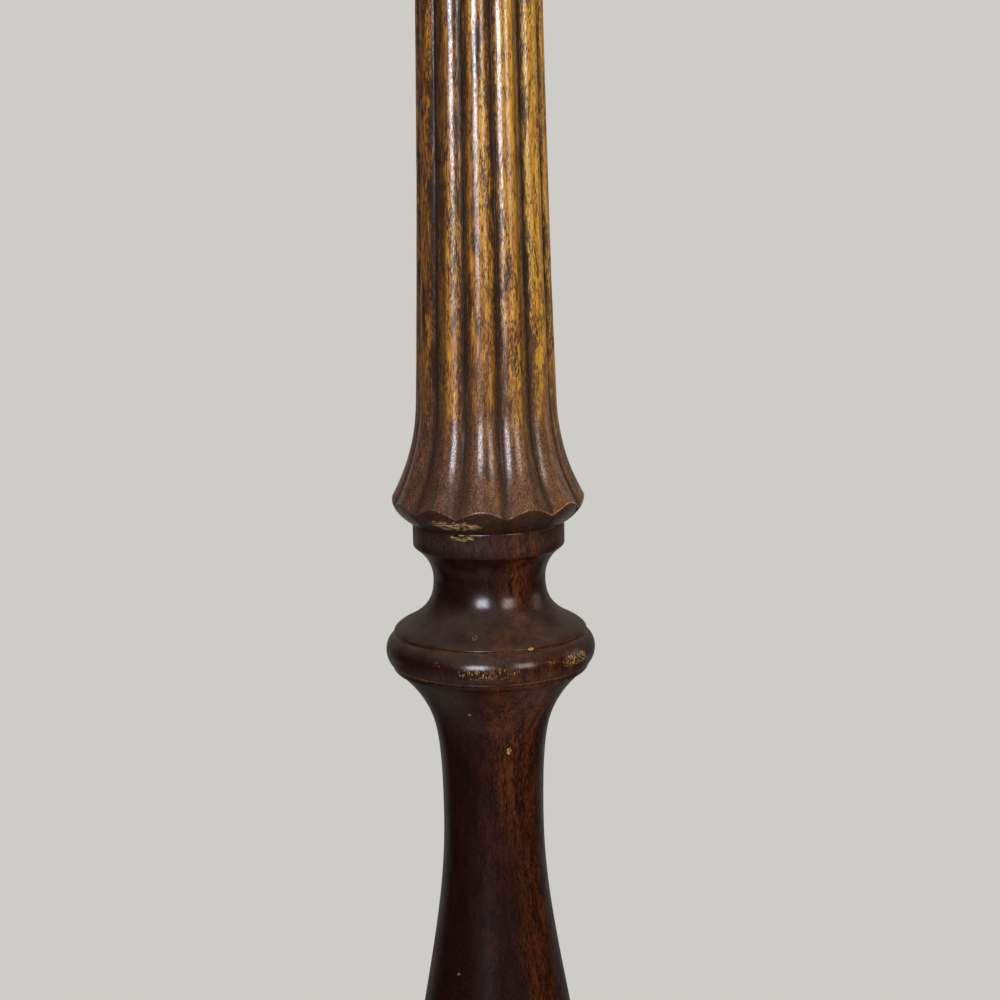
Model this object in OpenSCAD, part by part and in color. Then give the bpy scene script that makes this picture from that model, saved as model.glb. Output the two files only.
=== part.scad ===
// Turned candlestick floor lamp: weighted round base on bun feet, baluster stem, reeded column,
// candle cup, keyed lamp socket, harp and a hardback drum-cone shade.
// Millimetres, +Z up. The origin is on the floor under the middle of the base, and -Y is the front.

/* [Feet] */
// Number of bun feet
foot_count = 3; // [3:1:5]
// Height of the base above the floor
foot_h = 34; // [26:1:50]
// Greatest radius of a bun foot
foot_r = 23; // [18:1:26]
// Thickness of the felt pad under each foot
pad_h = 2; // [1:0.5:4]
// Radius of the dowel that holds a foot in the base
dowel_r = 7; // [5:0.5:9]
// Length of that dowel
dowel_h = 14; // [8:1:18]

/* [Base] */
// Radius of the base disc
base_r = 150; // [146:1:180]
// Thickness of the base disc
base_h = 28; // [28:1:40]
// Height of the straight part of the disc's edge
rim_h = 16; // [16:1:18]
// Radius of the bell-shaped riser at its foot
riser_r = 96; // [80:1:110]
// Height of the riser
riser_h = 38; // [30:1:60]
// Radius of the riser's neck under the stem
riser_neck_r = 46; // [43:1:52]

/* [Ballast] */
// Radius of the iron ballast disc
ballast_r = 84; // [60:1:88]
// Thickness of the ballast disc
ballast_h = 12; // [8:1:15]
// Radius of the hole in the middle of the ballast
ballast_eye_r = 24; // [20:1:34]
// How far the cloth under the ballast reaches past it
baize_lap = 6; // [3:0.5:7]
// Thickness of that cloth
baize_t = 1.5; // [0.8:0.1:3]
// Number of screws that hold the ballast
ballast_screw_count = 3; // [2:1:6]
// Radius of a ballast screw's shank
screw_r = 2.5; // [1.5:0.25:3.5]

/* [Cord inlet] */
// Radius of the hole in the cord bush
inlet_r = 4; // [2.5:0.25:5]
// Wall of the cord bush
bush_wall = 2.5; // [1.5:0.25:3]
// Length of the bush inside the base
bush_h = 14; // [8:1:24]
// How far the bush's collar stands out past its body
bush_collar = 1.5; // [1:0.25:2.5]

/* [Stem] */
// Height of the turned stem, from the riser to the column
stem_h = 399.4; // [360:0.2:460]
// Radius of the collar under the column
collar_r = 27; // [24:0.5:30]
// Height of the collar's straight side
collar_h = 8.2; // [5:0.1:12]
// Radius of the neck between the collar and the ring
neck_r = 20; // [17:0.5:22]
// Greatest radius of the stem's ring
ring_r = 37.5; // [34.5:0.25:42]
// Radius of the ring's rounded edge
ring_round = 6.5; // [5.5:0.25:8]
// Radius of the waist below the ring
waist_r = 18.2; // [15:0.1:22]
// Depth of the waist below the top of the stem
waist_drop = 109.4; // [96:0.2:124]
// Greatest radius of the vase-shaped lower stem
vase_r = 40; // [34:0.5:48]
// Height of that widest place above the riser
vase_rise = 115; // [95:1:135]
// Radius of the stem's foot
stem_foot_r = 42; // [36:0.5:43]

/* [Reeded column] */
// Height of the column
column_h = 650.6; // [500:0.2:760]
// Number of reeds round the column
reed_count = 12; // [8:1:18]
// Depth of the groove between two reeds
reed_depth = 2.3; // [1.5:0.1:3]
// Turn of the reeds, from a groove at the front, in degrees
reed_turn = 11; // [0:0.5:44]
// Radius that the column thins to at its top
shaft_r = 19.6; // [18.5:0.1:24]
// How much thicker the column is at its lower end than at its top
shaft_swell = 6.5; // [2:0.1:9]
// Height over which most of that swelling dies away
swell_h = 155; // [80:1:240]
// How far the column flares out at its lip
flare_out = 8.3; // [4:0.1:12]
// Height of the flare
flare_h = 35; // [25:0.5:60]
// Greatest radius of the lip
lip_r = 34.05; // [31:0.05:38]
// Height of the rounded moulding under the lip
lip_h = 8; // [5:0.1:12]
// How far that moulding draws in
lip_in = 5.75; // [3:0.05:8]

/* [Capital and candle cup] */
// Height of the turned capital
capital_h = 56; // [44:1:80]
// Greatest radius of the capital
capital_r = 30; // [26:0.5:36]
// Height of the candle cup
cup_h = 40; // [32:1:60]
// Radius of the drip pan at the foot of the candle cup
pan_r = 37; // [30:0.5:44]
// Radius of the candle cup's rim
cup_r = 24; // [23:0.5:28]

/* [Threaded pipe] */
// Outer radius of the pipe that clamps the lamp together
pipe_r = 4.85; // [4:0.05:5.5]
// Radius of the cord's way through the pipe
pipe_bore_r = 3.2; // [2:0.1:3.5]
// Outer radius of the coupling between the two pipes
coupling_r = 7.5; // [6.5:0.1:9]
// Length of the coupling
coupling_h = 24; // [16:1:36]
// Wall of the nuts and the radius that a washer adds to the pipe
washer_wall = 10; // [8:0.5:12]

/* [Brass fittings] */
// Radius of the brass check ring on the candle cup
check_r = 21; // [18:0.5:23]
// Height of the check ring
check_h = 6; // [4:0.5:9]
// Thickness of the harp saddle
saddle_t = 1.6; // [1:0.1:2.5]
// Half of the harp's width at its foot
harp_foot = 29.6; // [27:0.1:34]
// Radius of the harp's wire
wire_r = 1.6; // [1.2:0.1:2]
// Height of the harp's wire from the saddle to its top
harp_h = 229; // [215:1:260]
// Height of a harp sleeve
sleeve_h = 13; // [9:0.5:15]
// Radius of the stud on top of the harp
stud_r = 3; // [2:0.1:4]
// Height of the turned finial
finial_h = 36; // [26:1:50]

/* [Lamp socket] */
// Radius of the brass socket shell
shell_r = 17.2; // [16.6:0.1:20]
// Height of the socket shell
shell_h = 50; // [46:1:60]
// Thickness of the sheet brass
sheet_t = 0.6; // [0.4:0.05:0.8]
// Inner radius of the screw shell that takes the bulb
lamp_r = 13.3; // [13.2:0.05:13.6]
// Radius of the switch shaft
key_shaft_r = 2.4; // [1.8:0.1:3]
// Half width of the switch key
key_r = 8; // [6:0.5:11]
// Length of the switch key
key_h = 13; // [9:0.5:18]

/* [Bulb] */
// Greatest radius of the bulb
bulb_r = 30; // [24:0.5:34]
// Length of the bulb with its cap
bulb_h = 110; // [98:1:125]
// Thickness of the glass
glass_t = 0.8; // [0.6:0.1:1.2]

/* [Shade] */
// Radius of the shade at its top
shade_top_r = 130; // [100:1:160]
// Radius of the shade at its bottom
shade_bottom_r = 215; // [180:1:240]
// Height of the shade
shade_h = 285; // [240:1:320]
// Depth of the spider's washer below the shade's top
spider_drop = 12; // [6:1:24]
// Thickness of the stiff liner
liner_t = 1; // [0.6:0.1:1.6]
// Thickness of the linen on the liner
linen_t = 0.8; // [0.5:0.1:1.4]
// Width of the tape that binds the shade's edges
tape_w = 11; // [7:0.5:18]
// Thickness of that tape
tape_t = 0.6; // [0.4:0.1:1]

/* [Clearances] */
// Gap round the pipe in the wooden pieces
bore_gap = 0.4; // [0.2:0.05:0.8]
// Gap round a locating spigot in its socket
spigot_gap = 0.15; // [0.1:0.05:0.3]
// Gap between pieces that slide over or past each other
slip_gap = 0.2; // [0.15:0.05:0.3]
// Gap round a shaft that turns in a hole
turn_gap = 0.05; // [0.02:0.01:0.1]
// Gap between moving pieces that never touch
free_gap = 0.3; // [0.3:0.05:0.5]

/* [Hidden] */
$fn = 72;
feet = [for (i = [1 : foot_count]) i];

// Colours of the finishes
dark_wood = "#2c1710";
amber_wood = "#8a5a2a";
brass = "#b08d4a";
steel = "#8f9194";
nickel = "#c9ccd0";
iron = "#3d3d3f";
felt = "#2f4a33";
linen = "#d9cdb4";
phenolic = "#1f1a18";

// Heights of the stacked pieces, from the floor up
base_z = foot_h;
riser_z = base_z + base_h;
stem_z = riser_z + riser_h;
joint_z = stem_z + stem_h;
capital_z = joint_z + column_h;
cup_z = capital_z + capital_h;
check_z = cup_z + cup_h;
saddle_z = check_z + check_h;
socket_z = saddle_z + saddle_t;

// Bores, spigots and small roundings shared by the turned pieces
bore_r = pipe_r + bore_gap;
spigot_r = 12;
spigot_h = 6;
spigot_end = 0.5;
soft = 0.6;

// Feet stand on a circle inside the base's rim
foot_ring_r = base_r - foot_r - 9;
foot_neck_r = foot_r - 8;

// Points of a cubic from a to b that leaves at ta and arrives at tb degrees. It leaves out a.
function curve(a, ta, b, tb, ka = 0.36, kb = 0.36, n = 9) =
    let (reach = norm(b - a),
         pa = a + ka * reach * [cos(ta), sin(ta)],
         pb = b - kb * reach * [cos(tb), sin(tb)])
    [for (i = [1 : n])
        let (t = i / n, s = 1 - t)
        s * s * s * a + 3 * s * s * t * pa + 3 * s * t * t * pb + t * t * t * b];

// Points of an arc round c, from ta to tb degrees, stretched upright by tall
function arc(c, r, ta, tb, n = 10, tall = 1) =
    [for (i = [0 : n]) let (t = ta + (tb - ta) * i / n) c + r * [cos(t), tall * sin(t)]];

// The two ends of a turned piece: a socket in its foot, and a spigot on its head
function socket_end(z) = [
    [bore_r, z + spigot_h + spigot_end],
    [spigot_r + spigot_gap, z + spigot_h + spigot_end],
    [spigot_r + spigot_gap, z]];
function spigot_head(z) = [[spigot_r, z], [spigot_r, z + spigot_h], [bore_r, z + spigot_h]];

// A piece turned from an outline of [radius, height] points
module turned(outline) {
    rotate_extrude() polygon(outline);
}

// A plain ring or, with inner = 0, a disc
module ring(outer, inner, z, h) {
    difference() {
        translate([0, 0, z]) cylinder(r = outer, h = h);
        if (inner > 0) translate([0, 0, z - 1]) cylinder(r = inner, h = h + 2);
    }
}

// A hexagon nut of a given inradius
module hex_nut(inradius, bore, z, h) {
    difference() {
        translate([0, 0, z]) cylinder(r = inradius / cos(30), h = h, $fn = 6);
        translate([0, 0, z - 1]) cylinder(r = bore, h = h + 2);
    }
}

// ---------------------------------------------------------------- feet and base

// Place i of n on a circle, spread so that none is at the back, where the cord goes out
module around(i, n, r) {
    rotate([0, 0, 90 + 360 * (i - 0.5) / n]) translate([r, 0, 0]) children();
}

module at_foot(i) {
    around(i, foot_count, foot_ring_r) children();
}

module foot(i) {
    belly = pad_h + (foot_h - pad_h) * 0.45;
    sole_r = foot_neck_r - 1;
    color(dark_wood) at_foot(i) turned(concat(
        [[0, pad_h], [sole_r, pad_h]],
        curve([sole_r, pad_h], 15, [foot_r, belly], 90, 0.4, 0.45),
        curve([foot_r, belly], 90, [foot_neck_r, foot_h - 4], 170, 0.5, 0.4),
        [[foot_neck_r + 1.5, foot_h - 4], [foot_neck_r + 1.5, foot_h],
         [dowel_r, foot_h], [dowel_r, foot_h + dowel_h - spigot_end],
         [0, foot_h + dowel_h - spigot_end]]));
}

module foot_pad(i) {
    color(felt) at_foot(i) cylinder(r = foot_neck_r - 1 - soft, h = pad_h);
}

module base_disc() {
    top = base_z + base_h;
    rim_top = base_z + 2 + rim_h;
    channel_z = base_z + ballast_h - inlet_z;
    color(dark_wood) difference() {
        turned(concat(
            [[bore_r, base_z + ballast_h], [ballast_r + slip_gap, base_z + ballast_h],
             [ballast_r + slip_gap, base_z], [base_r - 2, base_z]],
            arc([base_r - 2, base_z + 2], 2, -90, 0, 4),
            [[base_r, rim_top], [base_r - 3, rim_top], [base_r - 3, rim_top + 1.5]],
            curve([base_r - 3, rim_top + 1.5], 90, [base_r - 17, top - 2], 165, 0.42, 0.42, 8),
            [[base_r - 19, top - 2], [base_r - 19, top]],
            spigot_head(top)));
        for (i = feet) at_foot(i) translate([0, 0, base_z - 1]) {
            cylinder(r = dowel_r + turn_gap, h = dowel_h + 1);
        }
        channel(ballast_r - 1, base_r + 1, inlet_r + 0.5);
        channel(base_r - bush_h - spigot_end, base_r + 1, inlet_r + bush_wall);
        channel(base_r - flange_t / 2, base_r + 5, inlet_r + bush_wall + bush_collar + turn_gap);
        ballast_screw_places() translate([0, 0, base_z]) {
            cylinder(r = screw_r, h = ballast_h + screw_bite);
        }
    }
}

// Height of the cord's way, at half the ballast's thickness but clear of the base's underside
inlet_z = inlet_r + bush_wall + bush_collar + soft;
flange_t = 2.4;
screw_bite = 9;
screw_head_h = 3;
screw_ring_r = (ballast_eye_r + ballast_r) / 2;

// A level hole at the back, from y0 to y1, at the height of the cord's way
module channel(y0, y1, r) {
    translate([0, y0, base_z + inlet_z]) rotate([-90, 0, 0]) cylinder(r = r, h = y1 - y0);
}

module ballast_screw_places() {
    for (i = [1 : ballast_screw_count]) around(i, ballast_screw_count, screw_ring_r) children();
}

module base_riser() {
    bead = 3.5;
    z = riser_z;
    top = stem_z;
    neck = [riser_neck_r - 2, top - 8];
    color(dark_wood) turned(concat(
        socket_end(z),
        [[riser_r - 1, z], [riser_r, z + 1], [riser_r, z + 4], [riser_r - 1.5, z + 4]],
        arc([riser_r - 1.5 - bead, z + 4 + bead], bead, -60, 90, 8),
        [[riser_r - 9, z + 4 + 2 * bead], [riser_r - 9, z + 5.5 + 2 * bead]],
        curve([riser_r - 9, z + 5.5 + 2 * bead], 165, neck, 90, 0.5, 0.45, 12),
        [[riser_neck_r + 1, top - 8], [riser_neck_r + 1, top - 6]],
        curve([riser_neck_r + 1, top - 6], 60, [riser_neck_r - 2, top], 150, 0.5, 0.5, 6),
        spigot_head(top)));
}

module ballast_weight() {
    color(iron) difference() {
        ring(ballast_r, ballast_eye_r, base_z, ballast_h);
        translate([-slot_half, 0, base_z - 1]) {
            cube([2 * slot_half, ballast_r + 1, ballast_h + 2]);
        }
        ballast_screw_places() translate([0, 0, base_z - 1]) {
            cylinder(r = screw_r, h = ballast_h + 2);
            cylinder(r = 2 * screw_r, h = screw_head_h + 1);
        }
    }
}

// Half width of the slot that lets the cord out of the ballast
slot_half = 2 * inlet_r;

module ballast_screws() {
    color(steel) ballast_screw_places() {
        translate([0, 0, base_z]) cylinder(r = 2 * screw_r, h = screw_head_h);
        translate([0, 0, base_z]) cylinder(r = screw_r, h = ballast_h + screw_bite - 1);
    }
}

module baize_cover() {
    color(felt) ring(ballast_r + baize_lap, 0, base_z - baize_t, baize_t);
}

module cord_bush() {
    body_r = inlet_r + bush_wall;
    inner_y = base_r - bush_h;
    seat_y = base_r - flange_t / 2;
    color(phenolic) difference() {
        union() {
            channel(inner_y, seat_y, body_r);
            channel(seat_y, seat_y + flange_t, body_r + bush_collar);
        }
        channel(inner_y - 1, seat_y + flange_t + 1, inlet_r);
    }
}

// ---------------------------------------------------------------- the pipe and its fixings

nut_h = 5;
washer_t = 2;
seat_z = base_z + ballast_h;
pipe_foot_z = seat_z - washer_t - nut_h - 2;
coupling_z = joint_z + spigot_h + 8;
pipe_split_z = coupling_z + coupling_h / 2;
pipe_head_z = socket_z + 12;
nut_inradius = pipe_r + 4;

module bottom_washer() {
    color(steel) ring(pipe_r + washer_wall, pipe_r + slip_gap, seat_z - washer_t, washer_t);
}

module bottom_nut() {
    color(steel) hex_nut(nut_inradius, pipe_r, seat_z - washer_t - nut_h, nut_h);
}

module lower_pipe() {
    color(steel) ring(pipe_r, pipe_bore_r, pipe_foot_z, pipe_split_z - pipe_foot_z);
}

module pipe_coupling() {
    color(brass) ring(coupling_r, pipe_r, coupling_z, coupling_h);
}

module upper_pipe() {
    color(steel) ring(pipe_r, pipe_bore_r, pipe_split_z, pipe_head_z - pipe_split_z);
}

// ---------------------------------------------------------------- the stem

// Depths of the stem's upper mouldings below its top
neck_drop = 21.4;
shoulder_drop = 39.8;
ring_drop = 46.7;
fillet_drop = ring_drop + 5.5;
cove_drop = 74.5;
swell_drop = 183.8;

// The ring is fuller below its middle than above it
ring_sag = 1.14;

module baluster_stem() {
    z = stem_z;
    top = joint_z;
    foot = stem_foot_r;
    shoulder_r = ring_r - 3;
    ring_c = [ring_r - ring_round, top - ring_drop];
    belly = [vase_r, z + vase_rise];
    swell = [waist_r + 9, top - swell_drop];
    waist = [waist_r, top - waist_drop];
    cove = [waist_r + 2.4, top - cove_drop];
    fillet = [shoulder_r + 0.7, top - fillet_drop];
    color(dark_wood) turned(concat(
        socket_end(z),
        [[foot - 1, z], [foot, z + 1], [foot, z + 5], [foot - 2, z + 6]],
        arc([foot - 4.5, z + 11], 5, -75, 80, 8),
        [[foot - 6, z + 16], [foot - 6, z + 19]],
        curve([foot - 6, z + 19], 175, [foot - 19, z + 36], 90, 0.45, 0.45, 8),
        curve([foot - 19, z + 36], 90, belly, 90, 0.42, 0.46, 12),
        curve(belly, 90, swell, 100, 0.36, 0.36, 10),
        curve(swell, 100, waist, 90, 0.4, 0.33, 9),
        curve(waist, 90, cove, 76, 0.45, 0.22, 7),
        curve(cove, 76, fillet - [1.9, 2.5], 41, 0.36, 0.3, 9),
        curve(fillet - [1.9, 2.5], 20, fillet, 90, 0.4, 0.4, 3),
        [fillet + [0, 0.5], fillet + [-0.7, 0.8]],
        arc(ring_c, ring_round, -42, -6, 6, ring_sag),
        arc(ring_c, ring_round, 0, 58, 8),
        [[shoulder_r - 0.7, top - shoulder_drop - 1.2], [shoulder_r, top - shoulder_drop - 1],
         [shoulder_r, top - shoulder_drop]],
        curve([shoulder_r, top - shoulder_drop], 125, [shoulder_r - 5.7, top - 36], 149,
            0.33, 0.33, 5),
        curve([shoulder_r - 5.7, top - 36], 149, [neck_r, top - neck_drop], 90, 0.42, 0.42, 10),
        curve([neck_r, top - neck_drop], 90, [collar_r - 1.8, top - collar_h - 2.2], 40,
            0.36, 0.36, 8),
        curve([collar_r - 1.8, top - collar_h - 2.2], 40, [collar_r, top - collar_h], 90,
            0.4, 0.4, 5),
        [[collar_r, top - soft], [collar_r - soft, top]],
        spigot_head(top)));
}

// ---------------------------------------------------------------- the reeded column

// Places in the column are heights above the widest part of its lip
lip_z = joint_z + lip_h;
column_top = column_h - lip_h;
flare_power = 2.2;
reed_pitch = 360 / reed_count;

// Radius over the crest of a reed at height w
function crest(w) = shaft_r + shaft_swell * exp(-w / swell_h)
    + flare_out * pow(max(0, 1 - w / flare_h), flare_power);

// Radius of a reed, a round rib, at height w and at a degrees from its middle
function reed(w, a) =
    let (top = crest(w),
         groove = top - reed_depth,
         c = cos(reed_pitch / 2),
         round_r = (groove * groove + top * top - 2 * groove * top * c) / (2 * (top - groove * c)),
         middle = top - round_r)
    middle * cos(a) + sqrt(round_r * round_r - pow(middle * sin(a), 2));

// Radius of the moulding under the lip
function ovolo(w) = lip_r - lip_in * pow(min(0, w) / lip_h, 2);

// Height at which a reed runs out over the lip, found by halving the gap between lo and hi
function run_out(a, lo, hi, steps = 24) =
    steps == 0 ? (lo + hi) / 2
    : let (mid = (lo + hi) / 2)
      reed(mid, a) > ovolo(mid) ? run_out(a, mid, hi, steps - 1)
                                : run_out(a, lo, mid, steps - 1);

// Rows of the column's skin: the shaft from the top down, the flare, and the lip's moulding
shaft_rows = 8;
flare_rows = 10;
lip_rows = 5;
reed_steps = 8;
column_rows = shaft_rows + flare_rows + lip_rows;

// Height of row i where the reed runs out at height edge
function row_w(i, edge) =
    i <= shaft_rows
        ? flare_h + (column_top - flare_h) * pow(1 - i / shaft_rows, 2)
    : i <= shaft_rows + flare_rows
        ? flare_h + (edge - flare_h) * (i - shaft_rows) / flare_rows
    : edge + (-lip_h - edge) * (i - shaft_rows - flare_rows) / lip_rows;

// The column as one closed skin: rows of points from its top to its bottom, and two end fans
module column_skin() {
    around = reed_count * reed_steps;
    angles = [for (j = [0 : reed_steps - 1]) (j / reed_steps - 0.5) * reed_pitch];
    edges = [for (a = angles) run_out(a, -lip_h, flare_h / 2)];
    points = [for (i = [0 : column_rows]) for (k = [0 : around - 1])
        let (j = k % reed_steps,
             w = row_w(i, edges[j]),
             r = i <= shaft_rows + flare_rows ? reed(w, angles[j]) : ovolo(w),
             t = k * 360 / around - 90 + reed_turn)
        [r * cos(t), r * sin(t), lip_z + w]];
    ends = [[0, 0, lip_z + column_top], [0, 0, lip_z - lip_h]];
    last = column_rows * around;
    middle = len(points);
    walls = [for (i = [0 : column_rows - 1]) for (k = [0 : around - 1])
        let (a = i * around + k, b = i * around + (k + 1) % around)
        each [[a, b, b + around], [a, b + around, a + around]]];
    fans = [for (k = [0 : around - 1])
        let (n = (k + 1) % around)
        each [[middle, n, k], [middle + 1, last + k, last + n]]];
    polyhedron(points = concat(points, ends), faces = concat(walls, fans));
}

module reeded_column() {
    color(amber_wood) difference() {
        union() {
            column_skin();
            ring(spigot_r, 0, capital_z - 1, spigot_h + 1);
        }
        translate([0, 0, joint_z - 1]) {
            cylinder(r = bore_r, h = column_h + spigot_h + 2);
            cylinder(r = spigot_r + spigot_gap, h = 1 + spigot_h + spigot_end);
            cylinder(r = coupling_r + bore_gap, h = 1 + coupling_z - joint_z + coupling_h + 2);
        }
    }
}

// ---------------------------------------------------------------- the capital and candle cup

module capital() {
    z = capital_z;
    top = cup_z;
    neck = shaft_r + 3;
    color(dark_wood) turned(concat(
        socket_end(z),
        [[neck - 0.5, z], [neck, z + 0.5]],
        arc([neck - 0.5, z + 3.5], 3, -80, 90, 7),
        [[neck - 3, z + 6.5], [neck - 3, z + 8]],
        curve([neck - 3, z + 8], 150, [neck - 7, z + 17], 90, 0.4, 0.45, 6),
        curve([neck - 7, z + 17], 90, [capital_r - 4, top - 13], 20, 0.5, 0.4, 10),
        [[capital_r - 4, top - 11.5]],
        arc([capital_r - 5, top - 6.5], 5, -75, 75, 8),
        [[capital_r - 6, top - 1], [capital_r - 7, top]],
        spigot_head(top)));
}

module candle_cup() {
    z = cup_z;
    top = check_z;
    throat = cup_r - 10;
    color(dark_wood) turned(concat(
        socket_end(z),
        [[spigot_r + 8, z]],
        curve([spigot_r + 8, z], 20, [pan_r - 1, z + 5], 50, 0.4, 0.4, 6),
        [[pan_r, z + 6.5], [pan_r - 1, z + 7], [pan_r - 3, z + 5.8]],
        curve([pan_r - 3, z + 5.8], 200, [throat, z + 11], 90, 0.5, 0.5, 8),
        curve([throat, z + 11], 90, [cup_r - 2, top - 7], 60, 0.4, 0.45, 8),
        [[cup_r - 1.5, top - 5.5]],
        arc([cup_r - 2.5, top - 3], 2.5, -60, 90, 6),
        [[bore_r, top - 0.5]]));
}

// ---------------------------------------------------------------- brass fittings and the harp

module check_ring() {
    z = check_z - 0.5;
    top = saddle_z;
    hub = 10;
    color(brass) turned(concat(
        [[pipe_r + slip_gap, z], [check_r - 0.5, z], [check_r, z + 0.5], [check_r, z + 2]],
        curve([check_r, z + 2], 150, [hub, top - 1.2], 180, 0.4, 0.4, 7),
        [[hub, top], [pipe_r + slip_gap, top]]));
}

// The saddle's two posts stand inside the harp's legs, and each sleeve goes round both
post_t = 1.5;
post_w = 5;
post_h = 14;
leg_gap = 0.25;
post_x = harp_foot - wire_r - leg_gap - post_t;
sleeve_x = harp_foot - (post_t + leg_gap) / 2;
sleeve_bore_r = 3.7;
sleeve_wall = 0.8;
leg_z = saddle_z + saddle_t;

module harp_saddle() {
    reach = sleeve_x + sleeve_bore_r + sleeve_wall + 0.5;
    color(brass) difference() {
        union() {
            translate([-reach, -6, saddle_z]) cube([2 * reach, 12, saddle_t]);
            for (side = [0, 1]) mirror([side, 0, 0]) {
                translate([post_x, -post_w / 2, saddle_z]) cube([post_t, post_w, saddle_t + post_h]);
            }
        }
        translate([0, 0, saddle_z - 1]) cylinder(r = pipe_r + slip_gap, h = saddle_t + 2);
    }
}

// The harp's half outline: a straight leg, a bend out, a bend back, a straight and a round top
leg_h = 29;
bend_out_r = 20;
bend_back_r = 45;
bend = 47;
shoulder_x = harp_foot + (bend_out_r + bend_back_r) * (1 - cos(bend));
shoulder_z = leg_z + leg_h + (bend_out_r + bend_back_r) * sin(bend);
crown_z = leg_z + harp_h - shoulder_x;

// The wire's pieces are by turns full and a hair thinner, and each thin one laps into its
// neighbours, so that no two of their faces lie on each other
wire_step = 0.05;
wire_lap = 0.3;

// A bend of the wire round [x, z], in the plane of the harp
module bent_wire(x, z, r, from, sweep, thin = 0) {
    lap = thin * wire_lap / r * 180 / PI;
    translate([x, 0, z]) rotate([90, 0, 0]) rotate([0, 0, from - lap]) {
        rotate_extrude(angle = sweep + 2 * lap) translate([r, 0]) {
            circle(r = wire_r - thin * wire_step, $fn = 24);
        }
    }
}

module harp_side() {
    translate([harp_foot, 0, leg_z]) cylinder(r = wire_r, h = leg_h);
    bent_wire(harp_foot + bend_out_r, leg_z + leg_h, bend_out_r, 180 - bend, bend, thin = 1);
    bent_wire(shoulder_x - bend_back_r, shoulder_z, bend_back_r, -bend, bend);
    translate([shoulder_x, 0, shoulder_z - wire_lap]) {
        cylinder(r = wire_r - wire_step, h = crown_z - shoulder_z + 2 * wire_lap);
    }
}

stud_foot_z = leg_z + harp_h - wire_r;
boss_r = 6;
boss_h = 2 * wire_r + 1.5;
hub_z = stud_foot_z + boss_h;
hub_t = 1.6;
stud_h = 15;

module harp_bow() {
    color(brass) difference() {
        union() {
            harp_side();
            mirror([1, 0, 0]) harp_side();
            bent_wire(0, crown_z, shoulder_x, 0, 180);
        }
        translate([0, 0, stud_foot_z - 1]) cylinder(r = boss_r, h = boss_h + 2);
    }
}

module harp_stud() {
    color(brass) union() {
        ring(boss_r, 0, stud_foot_z, boss_h);
        ring(stud_r, 0, hub_z - 0.5, stud_h + 0.5);
    }
}

module harp_sleeve(x) {
    color(brass) translate([x, 0, 0]) {
        ring(sleeve_bore_r + sleeve_wall, sleeve_bore_r, leg_z, sleeve_h);
    }
}

module finial() {
    z = hub_z + hub_t + free_gap;
    top = z + finial_h;
    color(brass) turned(concat(
        [[stud_r + turn_gap, z], [8.5, z], [9, z + 0.5], [9, z + 2]],
        curve([9, z + 2], 150, [4.6, z + 8], 90, 0.4, 0.4, 6),
        [[4.6, z + 9.5]],
        arc([4.6, z + 10.7], 1.8, -60, 60, 5),
        curve([5.5, z + 12.3], 40, [8, top - 12], 90, 0.4, 0.45, 6),
        curve([8, top - 12], 90, [0, top], 180, 0.55, 0.5, 9),
        [[0, z + stud_h], [stud_r + turn_gap, z + stud_h]]));
}

// ---------------------------------------------------------------- the lamp socket

cap_hub_r = 8;
cap_hub_h = 8;
cap_h = 20;
shell_z = socket_z + cap_h - 5;
sleeve_in_r = shell_r - 2 * sheet_t;
body_r = sleeve_in_r - free_gap;
body_z = socket_z + cap_h;
body_h = 18;
screw_shell_z = body_z + body_h;
screw_shell_h = shell_z + shell_h - screw_shell_z - 2;
contact_z = screw_shell_z + 2.5;
key_z = body_z + 9;

module socket_cap() {
    rim = shell_r + sheet_t;
    z = socket_z;
    color(brass) difference() {
        turned(concat(
            [[pipe_r, z], [cap_hub_r, z], [cap_hub_r, z + 5]],
            curve([cap_hub_r, z + 5], 70, [rim, z + cap_h - 5], 85, 0.4, 0.5, 8),
            [[rim, z + cap_h], [shell_r, z + cap_h], [shell_r, z + cap_h - 5]],
            curve([shell_r - sheet_t, z + cap_h - 5], 265, [cap_hub_r + 0.2, z + cap_hub_h], 235,
                0.5, 0.35, 8),
            [[pipe_r, z + cap_hub_h]]));
        translate([0, 0, z + 2.5]) rotate([0, 90, 0]) cylinder(r = set_screw_r, h = cap_hub_r + 1);
    }
}

set_screw_r = 1.5;

module socket_set_screw() {
    color(steel) translate([pipe_r, 0, socket_z + 2.5]) rotate([0, 90, 0]) {
        cylinder(r = set_screw_r, h = cap_hub_r - pipe_r + 1);
    }
}

// A level hole for the switch shaft, through the front of the socket
module key_hole(r) {
    translate([0, 0, key_z]) rotate([90, 0, 0]) cylinder(r = r, h = shell_r + 3);
}

module socket_shell() {
    color(brass) difference() {
        turned(concat(
            [[shell_r - sheet_t, shell_z], [shell_r, shell_z],
             [shell_r, shell_z + shell_h - 10]],
            arc([shell_r - 0.4, shell_z + shell_h - 8], 1.2, -70, 70, 5),
            [[shell_r, shell_z + shell_h - 6], [shell_r + 0.8, shell_z + shell_h],
             [shell_r + 0.8 - sheet_t, shell_z + shell_h],
             [shell_r - sheet_t, shell_z + shell_h - 6]]));
        key_hole(key_shaft_r + 1);
    }
}

module insulating_sleeve() {
    color("#7a6a52") difference() {
        ring(shell_r - sheet_t, sleeve_in_r, shell_z, shell_h - 6);
        key_hole(key_shaft_r + 1);
    }
}

shaft_in = 8;

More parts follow.
